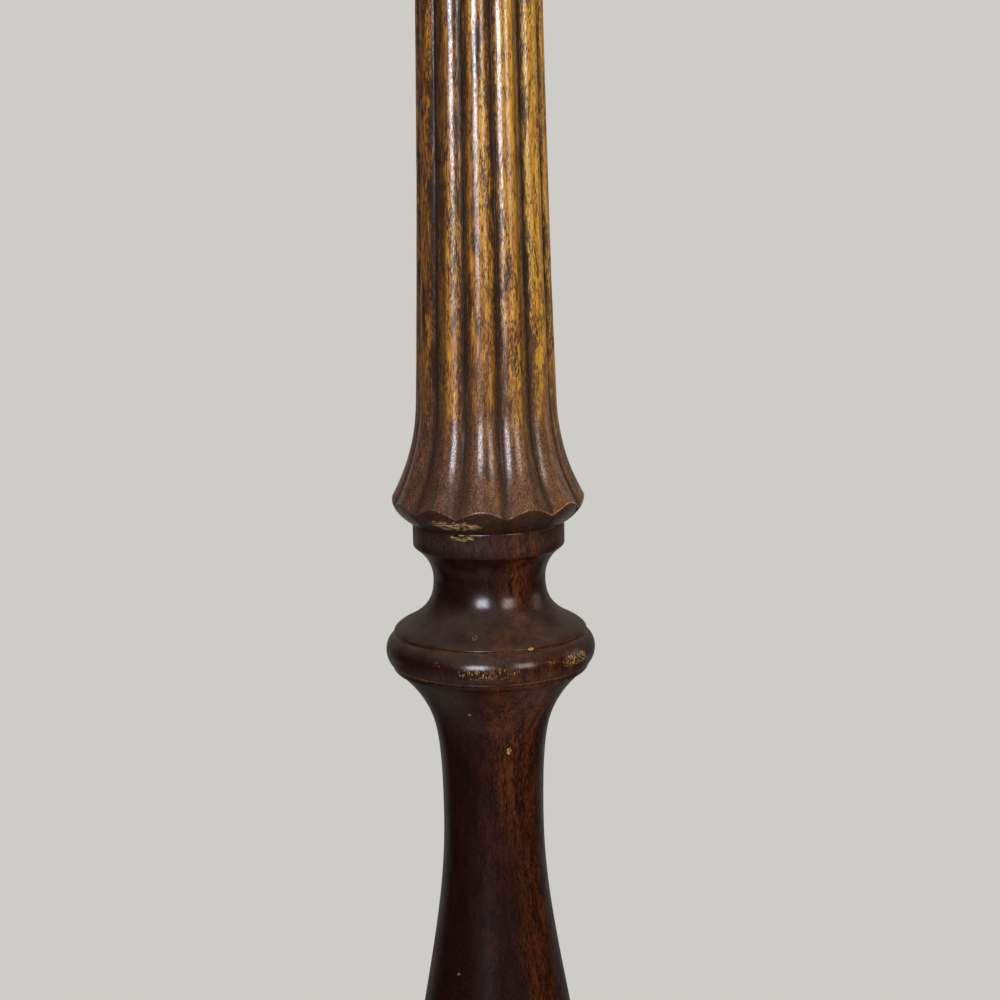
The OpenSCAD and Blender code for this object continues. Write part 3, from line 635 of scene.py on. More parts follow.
@dataclass(frozen=True)
class TurnedWood(Wood):
    """Dark stained and lacquered wood, with an amber figure and worn arrises."""

    name: str = "dark_wood"
    deep: Colour = srgb(31, 11, 7)
    body: Colour = srgb(52, 24, 15)
    amber: Colour = srgb(134, 68, 24)
    edge: Colour = srgb(112, 66, 32)
    bare: Colour = srgb(204, 164, 104)
    pores_and_recesses: Colour = srgb(12, 7, 6)
    dust_and_sheen: Colour = srgb(100, 84, 70)
    dust: Colour = srgb(122, 98, 66)
    gloss: float = 0.23
    sheen_bands: tuple[Triple, ...] = ()
    figure_at: float = 0.0
    patches: tuple[Patch, ...] = ()

    def paint(self, tree: Tree, surface: Node) -> None:
        """Stain, figure, pores, darkened hollows, rubbed edges, worn patches, dust, painted sheen
        bands, and painted light and shade by side and height.

        Args:
            tree: The material's tree.
            surface: Its surface shader.
        """
        place = tree.place()
        streak, pore, cloud = tree.use(grain_group, {
            "Place": place, "Width": 3.4, "Length": 75.0, "Contrast": 2.2,
            "Pore width": 0.36, "Pore length": 1.7, "Crowding": 0.06}).values()
        turn, z = self.turn_and_height(tree, place)
        down = self.figure_at - z
        start = down.step(65.0, 115.0, (-4.0, 24.0)) + down.step(22.0, 8.0) * 18.0
        stop = down.step(8.0, 40.0, (40.0, 60.0))
        window = (turn - start).step(-10.0, 14.0) * (stop - turn).step(-14.0, 10.0)
        bright = self.hill(z, self.figure_at, 7.0) * 0.7 + down.step(330.0, 230.0) * 0.3
        speckle = tree.noise((0.9, 0.9, 2.4), detail=3.0, roughness=0.65)
        figure = (window * cloud.step(0.4, 0.58, (0.3, 1.0)) * bright).most(
            cloud.step(0.6, 0.72) * 0.3)
        figure = figure * (streak * 0.6 + speckle * 0.7).step(0.48, 0.8)
        shade = tree.noise((34.0, 34.0, 60.0))
        # Painted light and shade: darker on the left and lighter on the right by the turn from the
        # front, and darker lower down.
        light = (streak * 0.75 + turn.step(-50.0, 10.0, (-0.3, 0.1)) + (shade - 0.5) * 0.5
                 - down.step(90.0, 150.0) * 0.25)
        rub = tree.use(rub_group, {
            "Place": place, "Edge": tree.attribute("edge"), "Amount": 0.82, "Size": 1.8})
        chips, recess = self.chips(tree, place), tree.attribute("recess")
        bloom = tree.use(bloom_group, {"Place": place, "Amount": 0.4})
        # Dust on the surfaces that face up, to which the painted sheen bands below are added.
        dust_and_sheen = bloom["Mask"]
        # Painted sheen: greyish bands at given heights of the stem, broken by speckle.
        for height, reach, amount in self.sheen_bands:
            dust_and_sheen = dust_and_sheen.most(self.hill(z, height, reach) * speckle.step(0.25, 0.6) * amount)
        # The pores and the hollows near inner corners are darkened with the same near-black.
        colour = tree.layers(
            self.deep, (light.step(0.1, 0.8), self.body), (figure, self.amber),
            (pore * 0.75, self.pores_and_recesses), (recess * 0.85, self.pores_and_recesses), (rub["Mask"] * 0.6, self.edge),
            (chips, self.bare), (dust_and_sheen, self.dust_and_sheen), (recess * dust_and_sheen * 1.2, self.dust))
        smear = tree.noise(place, 14.0, detail=4.0, roughness=0.6)
        rough = smear * 0.14 + 0.3 + chips * 0.35 + dust_and_sheen * 0.3 + pore * 0.12
        relief = pore * -0.5 - chips * 1.0 + streak * 0.15
        normal = tree.bump(tree.noise(place, 9.0), 0.25, 0.35)
        skin = tree.bump(relief, 0.05, 0.6, normal)
        tree.fill(surface, {"Base Color": colour, "Roughness": rough, "Normal": skin})
        thick = 0.85 - dust_and_sheen * 0.9 - chips * 0.8 - pore * 0.2
        self.varnish(tree, surface, thick * down.step(90.0, 150.0, (1.0, 0.7)), self.gloss)


@dataclass(frozen=True)
class ReedWood(Wood):
    """Amber wood of the reeded column: streaked and pored, and stained dark at its lip."""

    lip: float
    name: str = "amber_wood"
    deep: Colour = srgb(88, 48, 10)
    amber: Colour = srgb(160, 101, 18)
    gold: Colour = srgb(198, 147, 38)
    pores_and_shade: Colour = srgb(33, 17, 8)
    stain: Colour = srgb(114, 68, 40)
    stain_deep: Colour = srgb(40, 20, 12)
    edge: Colour = srgb(184, 124, 62)
    bare: Colour = srgb(200, 162, 116)
    dust_and_sheen: Colour = srgb(132, 110, 94)
    patches: tuple[Patch, ...] = ()

    def paint(self, tree: Tree, surface: Node) -> None:
        """Streaks, flecks, grooves darkened by dirt and painted shade, painted shade and light by
        side, stain towards the lip, and a rubbed scalloped edge.

        Args:
            tree: The material's tree.
            surface: Its surface shader.
        """
        place = tree.place()
        groove = tree.attribute("groove")
        waver = tree.noise((2.6, 2.6, 8.0), detail=4.0, roughness=0.65) - 0.5
        tide = tree.noise((9.0, 9.0, 90.0)) - 0.5
        turn, z = self.turn_and_height(tree, place)
        # Painted shade: the reed flanks that turn away from the front are darkened, by the rough
        # direction each point faces; only over the front half of the column.
        facing = turn + tree.attribute("flank") * 42.0
        inner = turn.over(41.0)
        side = (facing.step(-18.0, -42.0) * turn.step(-53.0, -47.0, (0.5, 1.0))
                + facing.step(28.0, 48.0) * (1.0 - inner) + facing.step(78.0, 98.0) * inner)
        side = side * abs(turn).step(100.0, 76.0)
        valley = groove + waver * 0.5 + tide * 0.4
        # Blotches are made a little more likely on the left side (turn below -36 degrees), which
        # darkens it as painted shade.
        blotch = (tree.noise((6.0, 6.0, 22.0), detail=4.0, roughness=0.7)
                  + turn.step(-36.0, -60.0, (0.0, 0.05))).step(0.55, 0.68) * (1.0 - inner * 0.6)
        streak, pore, cloud = tree.use(grain_group, {
            "Place": place, "Width": 2.6, "Length": 55.0, "Contrast": 3.2,
            "Pore width": 0.25, "Pore length": 2.0,
            "Crowding": valley.step(0.35, 1.0, (0.02, 0.16)) + blotch * 0.1}).values()
        # Painted light: the right side is lighter and the left darker, by the turn from the front;
        # this feeds the amber and gold layers.
        painted_side_light = turn.step(-60.0, 40.0, (-0.18, 0.14)) * turn.step(95.0, 62.0) + inner * 0.1
        light = (streak + painted_side_light + (cloud - 0.5) * 0.6 + waver * 0.7 - blotch * 0.3
                 - 0.03).within()
        rise = z - self.lip
        ragged = rise + (streak - 0.5) * 22.0 + (cloud - 0.5) * 34.0 + waver * 26.0
        low = ragged.step(58.0, 14.0)
        speck = tree.noise((0.55, 0.55, 1.0), detail=3.0, roughness=0.75)
        stained = tree.mix((light * 0.7 + speck.step(0.42, 0.58) * 0.8).step(0.32, 0.98),
                           self.stain_deep, self.stain)
        # Painted shade mask for the averted flanks, with ragged edges.
        painted_flank_shade = (side + waver * 0.9 + (streak - 0.5) * 0.5 + tide * 0.6).step(0.4, 0.92)
        # The valley lines are darkened for dirt and painted shade together, and the painted flank
        # shade is added to them; both use the pores' near-black.
        dark = valley.step(0.76, 0.95).most(painted_flank_shade * 0.74)
        under = tree.attribute("under")
        bright = turn.step(0.0, 45.0, (0.68, 0.92)) * turn.step(125.0, 80.0, (0.75, 1.0))
        rub = tree.use(rub_group, {
            "Place": place, "Edge": tree.attribute("edge"), "Amount": bright, "Size": 1.3})
        broken_line = tree.noise((5.0, 5.0, 5.0), detail=3.0).step(0.42, 0.56, (0.4, 1.0))
        chips = self.chips(tree, place)
        bloom = tree.use(bloom_group, {"Place": place, "Amount": 0.35})
        # Dust on the surfaces that face up, and a faint painted sheen over the stained flare.
        dust_and_sheen = bloom["Mask"].most(low * (1.0 - under) * 0.05)
        colour = tree.layers(
            self.deep, (light.step(0.1, 0.6), self.amber), (light.step(0.5, 0.95), self.gold),
            (low * 0.88, stained), (pore * (0.88 - low * 0.35), self.pores_and_shade),
            (dark * (0.9 - low * 0.2), self.pores_and_shade), (under * 0.85, self.stain_deep),
            (rub["Mask"] * broken_line * 0.9, self.edge), (chips, self.bare), (dust_and_sheen, self.dust_and_sheen))
        rough = streak * -0.06 + 0.56 + pore * 0.2 + chips * 0.3 + dark * 0.2 - low * 0.24
        relief = pore * -0.7 + streak * 0.3 - chips
        fine = tree.noise((0.5, 0.5, 0.9), roughness=0.7)
        normal = tree.bump(fine * (low * 4.0 + 0.5), 0.14, 1.0)
        skin = tree.bump(relief, 0.07, 0.8, normal)
        tree.fill(surface, {"Base Color": colour, "Roughness": rough, "Normal": skin})
        broken = fine.step(0.4, 0.58, (0.4, 1.0)) * (1.0 - pore * 0.45) * (1.0 - low * 0.5)
        whole = 1.0 - dark * 0.6 - chips * 0.8 - under * 0.4
        self.varnish(tree, surface, whole * broken * groove.step(1.0, 0.8, (0.35, 1.0)),
                     0.22, 1.95, 0.24)


@dataclass(frozen=True)
class Metal(Finish):
    """Plain or lacquered metal with stains, specks and fine scratches."""

    name: str
    clean: Colour
    stained: Colour
    stain: float = 0.5
    rough: float = 0.28
    metallic: float = 1.0
    size: float = 9.0
    relief: float = 0.02

    def paint(self, tree: Tree, surface: Node) -> None:
        """Stain the colour and vary the gloss.

        Args:
            tree: The material's tree.
            surface: Its surface shader.
        """
        place = tree.place()
        stain, scratch, speck = tree.use(
            tarnish_group, {"Place": place, "Size": self.size}).values()
        stain = stain * self.stain
        tree.fill(surface, {
            "Base Color": tree.layers(self.clean, (stain, self.stained),
                                      (speck * self.stain * 0.5, self.stained)),
            "Roughness": stain * 0.22 + scratch * 0.08 + speck * 0.1 + self.rough,
            "Normal": tree.bump(scratch * 0.4 - speck * 0.6, self.relief, 0.6),
            "Metallic": self.metallic})


@dataclass(frozen=True)
class Fibre(Finish):
    """Felt, card or paper: matted fibres with no weave."""

    name: str
    light: Colour
    dark: Colour
    fibre: Triple = (0.4, 0.4, 0.4)
    relief: float = 0.15
    rough: float = 0.95
    sheen: float = 0.3

    def paint(self, tree: Tree, surface: Node) -> None:
        """Mottle the colour and raise the fibres.

        Args:
            tree: The material's tree.
            surface: Its surface shader.
        """
        matted = tree.noise(self.fibre, detail=5.0, roughness=0.75, warp=0.8)
        cloud = tree.noise((12.0, 12.0, 12.0), detail=3.0)
        share = (matted * 0.65 + cloud * 0.45).step(0.3, 0.75)
        tree.fill(surface, {
            "Base Color": tree.mix(share, self.dark, self.light),
            "Roughness": matted * 0.1 + self.rough - 0.08,
            "Normal": tree.bump(matted, self.relief, 0.8), "Sheen Weight": self.sheen,
            "Sheen Roughness": 0.6})


@dataclass(frozen=True)
class Woven(Finish):
    """A plain woven cloth, on the piece's own cloth coordinates in metres."""

    name: str
    light: Colour
    dark: Colour
    thread: float = 0.9
    relief: float = 0.25

    def paint(self, tree: Tree, surface: Node) -> None:
        """Raise the threads, and vary their tone with slubs, sun and age.

        Args:
            tree: The material's tree.
            surface: Its surface shader.
        """
        cloth = tree.node("ShaderNodeUVMap", uv_map="cloth")
        height, tone = tree.use(
            weave_group, {"Cloth": cloth, "Thread": self.thread}).values()
        age = tree.noise((90.0, 90.0, 120.0), detail=3.0)
        share = tone * 0.3 + height * 0.3 + age * 0.4
        tree.fill(surface, {
            "Base Color": tree.mix(share.step(0.15, 0.95), self.dark, self.light),
            "Roughness": height * -0.08 + 0.92,
            "Normal": tree.bump(height, self.relief, 0.8), "Sheen Weight": 0.2})


@dataclass(frozen=True)
class Glass(Finish):
    """Clear lamp glass with a little dust."""

    name: str = "clear_glass"
    clear: Colour = srgb(250, 252, 250)
    dusty: Colour = srgb(214, 208, 196)
    ior: float = 1.48

    def paint(self, tree: Tree, surface: Node) -> None:
        """Dull the gloss where dust lies.

        Args:
            tree: The material's tree.
            surface: Its surface shader.
        """
        place = tree.place()
        bloom = tree.use(bloom_group, {"Place": place, "Amount": 0.16})
        flow = tree.noise(place, 22.0)
        tree.fill(surface, {
            "Base Color": tree.mix(bloom["Mask"], self.clear, self.dusty),
            "Roughness": bloom["Mask"] * 0.5 + 0.01, "Normal": tree.bump(flow, 0.15, 0.3),
            "Transmission Weight": 1.0, "IOR": self.ior})


@dataclass(frozen=True)
class Sheet(Finish):
    """Smooth white lining sheet, yellowed towards the lamp's heat."""

    name: str = "liner"
    white: Colour = srgb(238, 234, 224)
    yellowed: Colour = srgb(226, 212, 182)
    hot: float = 1400.0

    def paint(self, tree: Tree, surface: Node) -> None:
        """Yellow the sheet and give it the faint orange peel of a rolled plastic.

        Args:
            tree: The material's tree.
            surface: Its surface shader.
        """
        place = tree.place()
        z = tree.axes(place)[2]
        cloud = tree.noise(place, 60.0, detail=4.0)
        warmth = (z.step(self.hot - 130.0, self.hot + 110.0) * 0.6 + cloud * 0.4).least(1.0)
        tree.fill(surface, {
            "Base Color": tree.mix(warmth, self.white, self.yellowed),
            "Roughness": cloud * 0.15 + 0.42,
            "Normal": tree.bump(tree.noise(place, 1.2), 0.03, 0.5)})


BRASS = Metal("brass", srgb(216, 184, 122), srgb(122, 94, 56), 0.45, 0.26)
STEEL = Metal("steel", srgb(178, 180, 182), srgb(96, 88, 80), 0.5, 0.3)
IRON = Metal("iron", srgb(62, 62, 64), srgb(84, 58, 42), 0.6, 0.55, 0.6, 14.0, 0.12)
NICKEL = Metal("nickel", srgb(208, 206, 200), srgb(150, 140, 124), 0.4, 0.2)
TUNGSTEN = Metal("tungsten", srgb(92, 92, 96), srgb(52, 50, 50), 0.4, 0.45, 0.9, 3.0, 0.005)
PHENOLIC = Metal("phenolic", srgb(26, 21, 19), srgb(52, 40, 33), 0.5, 0.26, 0.0, 6.0, 0.02)
FELT = Fibre("felt", srgb(58, 88, 62), srgb(26, 46, 30))
CARD = Fibre("card", srgb(148, 124, 92), srgb(106, 86, 60), (0.6, 0.6, 1.6), 0.04, 0.85, 0.0)
LINEN = Woven("linen", srgb(226, 215, 190), srgb(186, 172, 142))
TAPE = Woven("tape", srgb(206, 188, 148), srgb(160, 140, 102), 0.55, 0.15)
GLASS = Glass()


class Body(Enum):
    """The bodies that the pieces ride on."""

    STAND = "stand"
    HARP = "harp"
    LEFT_SLEEVE = "left_sleeve"
    RIGHT_SLEEVE = "right_sleeve"
    SHADE = "shade"
    FINIAL = "finial"
    BULB = "bulb"
    SWITCH = "switch"


# ---- meshes

class Outline:
    """The outline of a turned piece as points of radius and height in millimetres.

    It runs with the wood on its left: out along the foot, up the outside and in over the top.
    """

    FINER = 3  # How many times finer curves are drawn than in the part's drawing.
    SHARP = 18.0  # Least turn of a corner that is softened, in degrees.
    WORN = 60.0  # Turn from which a corner wears or fills in full.
    CUT = 0.42  # Greatest share of a stretch that a corner is cut back.
    LONG = 5.0  # A stretch longer than this many cuts gets a point that keeps it flat.

    def __init__(self, *start: Point) -> None:
        """Start with one or more points."""
        self.points: list[Point] = list(start)

    def to(self, *points: Point) -> "Outline":
        """Go straight to each point in turn."""
        self.points.extend(points)
        return self

    def curve(self, leave: float, end: Point, arrive: float, ka: float = 0.36,
              kb: float = 0.36, steps: int = 9) -> "Outline":
        """Go on along a cubic curve.

        Args:
            leave: Direction at its start, in degrees.
            end: Its last point.
            arrive: Direction at its end, in degrees.
            ka: Reach of the start's handle, as a share of the distance.
            kb: Reach of the end's handle.
            steps: Steps of the drawing's curve, which is drawn finer here.

        Returns:
            The outline.
        """
        a, b = np.array(self.points[-1]), np.array(end)
        reach = float(np.linalg.norm(b - a))
        first, second = (
            point + pull * reach * np.array([math.cos(way), math.sin(way)])
            for point, pull, way in ((a, ka, math.radians(leave)),
                                     (b, -kb, math.radians(arrive))))
        for t in np.linspace(0, 1, steps * self.FINER + 1)[1:]:
            s = 1 - t
            p = s ** 3 * a + 3 * s * s * t * first + 3 * s * t * t * second + t ** 3 * b
            self.points.append((float(p[0]), float(p[1])))
        return self

    def arc(self, centre: Point, radius: float, start: float, stop: float,
            tall: float = 1.0, steps: int = 10) -> "Outline":
        """Go to an arc's start and along it.

        Args:
            centre: Its centre.
            radius: Its radius.
            start: Direction of its first point from the centre, in degrees.
            stop: Direction of its last point.
            tall: How much it is stretched upright.
            steps: Steps of the drawing's arc, which is drawn finer here.

        Returns:
            The outline.
        """
        for angle in np.radians(np.linspace(start, stop, steps * self.FINER + 1)):
            self.points.append((centre[0] + radius * math.cos(angle),
                                centre[1] + radius * tall * math.sin(angle)))
        return self

    def corners(self) -> list[tuple[int, float]]:
        """Measure how the outline turns at each point.

        Returns:
            Each point's place in the outline, and its turn in degrees, above 0 to the left.
        """
        points = np.array(self.points)
        ahead = np.roll(points, -1, axis=0) - points
        behind = points - np.roll(points, 1, axis=0)
        cross = behind[:, 0] * ahead[:, 1] - behind[:, 1] * ahead[:, 0]
        turns = np.degrees(np.arctan2(cross, (behind * ahead).sum(axis=1)))
        return [(i, float(t)) for i, t in enumerate(turns)]

    def eased(self, ease: float, step: float,
              reach: float) -> tuple[list[Point], list[float], list[float]]:
        """Soften the sharp corners and split the long stretches.

        Args:
            ease: How far a corner is cut back, in millimetres.
            step: Longest stretch that stays whole.
            reach: How far the wear of a corner spreads.

        Returns:
            The points, how near each is to an outer corner, and to an inner one.
        """
        sharp = {i: t for i, t in self.corners()
                 if abs(t) > self.SHARP and self.points[i][0] > ON_AXIS}
        count = len(self.points)
        soft: list[np.ndarray] = []
        marks: list[tuple[np.ndarray, float]] = []
        for i, point in enumerate(self.points):
            here = np.array(point)
            if i not in sharp:
                soft.append(here)
                continue
            before = np.array(self.points[i - 1]) - here
            after = np.array(self.points[(i + 1) % count]) - here
            span_a, span_b = np.linalg.norm(before), np.linalg.norm(after)
            cut = min(ease, self.CUT * span_a, self.CUT * span_b)
            a, b = before / span_a * cut, after / span_b * cut
            if span_a > self.LONG * cut:
                soft.append(here + a * 2)
            for t in (0.0, 0.25, 0.5, 0.75, 1.0):
                soft.append(here + (1 - t) ** 2 * a + t ** 2 * b)
            if span_b > self.LONG * cut:
                soft.append(here + b * 2)
            marks.append((here, sharp[i]))
        points: list[Point] = []
        for a, b in zip(soft, soft[1:] + soft[:1]):
            pieces = max(1, math.ceil(float(np.linalg.norm(b - a)) / step))
            points.extend(tuple(a + (b - a) * k / pieces) for k in range(pieces))
        outer, inner = [], []
        for p in points:
            near = [(math.exp(-(float(np.linalg.norm(np.array(p) - c)) / reach) ** 2), t)
                    for c, t in marks]
            for side, sign in ((outer, 1), (inner, -1)):
                side.append(max([n * min(1.0, sign * t / self.WORN)
                                 for n, t in near if sign * t > 0], default=0.0))
        return points, outer, inner


def add_object(name: str, data: ID) -> Object:
    """Put an object with some data into the scene.

    Args:
        name: The object's name.
        data: Its mesh, light or camera.

    Returns:
        The object.
    """
    obj = bpy.data.objects.new(name, data)
    bpy.context.scene.collection.objects.link(obj)
    return obj


def mesh_object(name: str, points: np.ndarray, faces: Sequence[Sequence[int]],
                finish: Finish | None = None) -> Object:
    """Make an object from points in millimetres.

    Args:
        name: The object's name.
        points: Its points, one in each row.
        faces: Its faces as indexes of points, seen from outside.
        finish: Its finish.

    Returns:
        The object, smooth shaded, at the origin.
    """
    mesh = bpy.data.meshes.new(name)
    mesh.from_pydata((np.asarray(points, float) * MM).tolist(), [], [list(f) for f in faces])
    mesh.update()
    mesh.shade_smooth()
    if finish is not None:
        mesh.materials.append(finish.material())
    return add_object(name, mesh)


def evaluated(obj: Object) -> Mesh:
    """Take the mesh that an object's modifier makes, and remove the modifier.

    Args:
        obj: The object.

    Returns:
        The plain mesh.
    """
    graph = bpy.context.evaluated_depsgraph_get()
    mesh = bpy.data.meshes.new_from_object(obj.evaluated_get(graph))
    obj.modifiers.clear()
    return mesh


def turn_piece(name: str, outline: Outline, finish: Finish, centre: Point = (0.0, 0.0),
               segments: int = 160, ease: float = 0.5, step: float = 3.0,
               reach: float = 1.3) -> Object:
    """Turn an outline round an upright axis into a closed mesh.

    Args:
        name: The piece's name.
        outline: Its outline.
        finish: Its finish.
        centre: Place of the axis in millimetres.
        segments: Number of faces round it.
        ease: How far the corners are softened.
        step: Longest face along the outline.
        reach: How far the wear of a corner spreads.

    Returns:
        The piece, with how near each point is to an edge or a recess stored on it.
    """
    rows, outer, inner = outline.eased(ease, step, reach)
    angles = spokes(segments)
    points: list[Triple] = []
    values: list[Point] = []
    rings: list[list[int]] = []
    for (radius, height), edge, recess in zip(rows, outer, inner):
        first = len(points)
        around = [0.0] if radius < ON_AXIS else angles
        for a in around:
            points.append((centre[0] + radius * math.cos(a), centre[1] + radius * math.sin(a),
                           height))
            values.append((edge, recess))
        rings.append([first + k % len(around) for k in range(segments)])
    faces = []
    for low, high in zip(rings, rings[1:] + rings[:1]):
        for k in range(segments):
            n = (k + 1) % segments
            corners = list(dict.fromkeys([low[k], low[n], high[n], high[k]]))
            if len(corners) > 2:
                faces.append(corners)
    piece = mesh_object(name, np.array(points), faces, finish)
    for column, label in enumerate(("edge", "recess")):
        store = piece.data.attributes.new(label, "FLOAT", "POINT")
        store.data.foreach_set("value", np.array(values, np.float32)[:, column].copy())
    return piece


def place_piece(piece: Object, body: Body, slot: str, *nodes: str) -> Object:
    """Set a piece on its body and hide the CAD nodes that it stands for.

    Args:
        piece: The piece.
        body: The body that it rides on.
        slot: Its material slot; not used.
        nodes: The CAD nodes.

    Returns:
        The piece.
    """
    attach(piece, body.value)
    if nodes:
        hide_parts(*nodes)
    LOG.info("%s: %d faces on %s", piece.name, len(piece.data.polygons), body.value)
    return piece


def dress(finish: Finish, *nodes: str) -> None:
    """Give CAD nodes a finish.

    Args:
        finish: The finish.
        nodes: The nodes' names.
    """
    for name in nodes:
        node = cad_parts[name]
        node.data.materials.clear()
        node.data.materials.append(finish.material())
        LOG.info("%s: dressed in %s", name, finish.name)


class Recipe(Tree):
    """A geometry node tree with named inputs that is run once for each piece it makes."""

    def __init__(self, name: str, sizes: dict[str, float | int]) -> None:
        """Start a tree.

        Args:
            name: The tree's name.
            sizes: Default values of its inputs in millimetres, or counts, by name.
        """
        super().__init__(bpy.data.node_groups.new(name, "GeometryNodeTree"))
        self.data.interface.new_socket(
            name="Geometry", in_out="OUTPUT", socket_type="NodeSocketGeometry")
        self.keys = {label: self.add_input(label, SOCKETS[type(value)], value)
                     for label, value in sizes.items()}
        self.keys["Material"] = self.add_input("Material", "NodeSocketMaterial")
        self.given = self.inputs()

    @classmethod
    @cache
    def once(cls) -> "Recipe":
        """The recipe of a class that needs no sizes, written once."""
        return cls()

    def close(self, geometry: Value) -> None:
        """End the tree: make instances real, turn millimetres to metres, set the material.

        Args:
            geometry: The piece in millimetres.
        """
        real = self.node("GeometryNodeRealizeInstances", {0: geometry})
        sized = self.node("GeometryNodeTransform", {"Geometry": real, "Scale": (MM, MM, MM)})
        coated = self.node("GeometryNodeSetMaterial", {
            "Geometry": sized, "Material": self.given["Material"]})
        self.node("NodeGroupOutput", {0: coated})

    def run(self, name: str, finish: Finish, **sizes: float | int) -> Object:
        """Run the tree.

        Args:
            name: The new piece's name.
            finish: Its finish.
            sizes: Values of the inputs, with _ for a space in their names.

        Returns:
            The result as a plain mesh object.
        """
        label = name + "_recipe"
        holder = add_object(label, bpy.data.meshes.new(label))
        modifier = holder.modifiers.new("recipe", "NODES")
        modifier.node_group = self.data
        modifier[self.keys["Material"]] = finish.material()
        for size, value in sizes.items():
            modifier[self.keys[size.replace("_", " ")]] = value
        mesh = evaluated(holder)
        bpy.data.objects.remove(holder)
        mesh.name = name
        mesh.shade_smooth()
        return add_object(name, mesh)


# ---- base

@dataclass
class Fit:
    """Bore, spigot and socket that the turned pieces share."""

    bore: float = 5.25
    spigot: float = 12.0
    spigot_rise: float = 6.0
    socket: float = 12.15
    socket_depth: float = 6.5

    def mouth(self, z: float) -> Outline:
        """Start an outline with the socket in a piece's foot."""
        return Outline((self.bore, z + self.socket_depth), (self.socket, z + self.socket_depth),
                       (self.socket, z))

    def head(self, z: float) -> tuple[Point, Point, Point]:
        """The spigot on a piece's head."""
        return (self.spigot, z), (self.spigot, z + self.spigot_rise), (
            self.bore, z + self.spigot_rise)


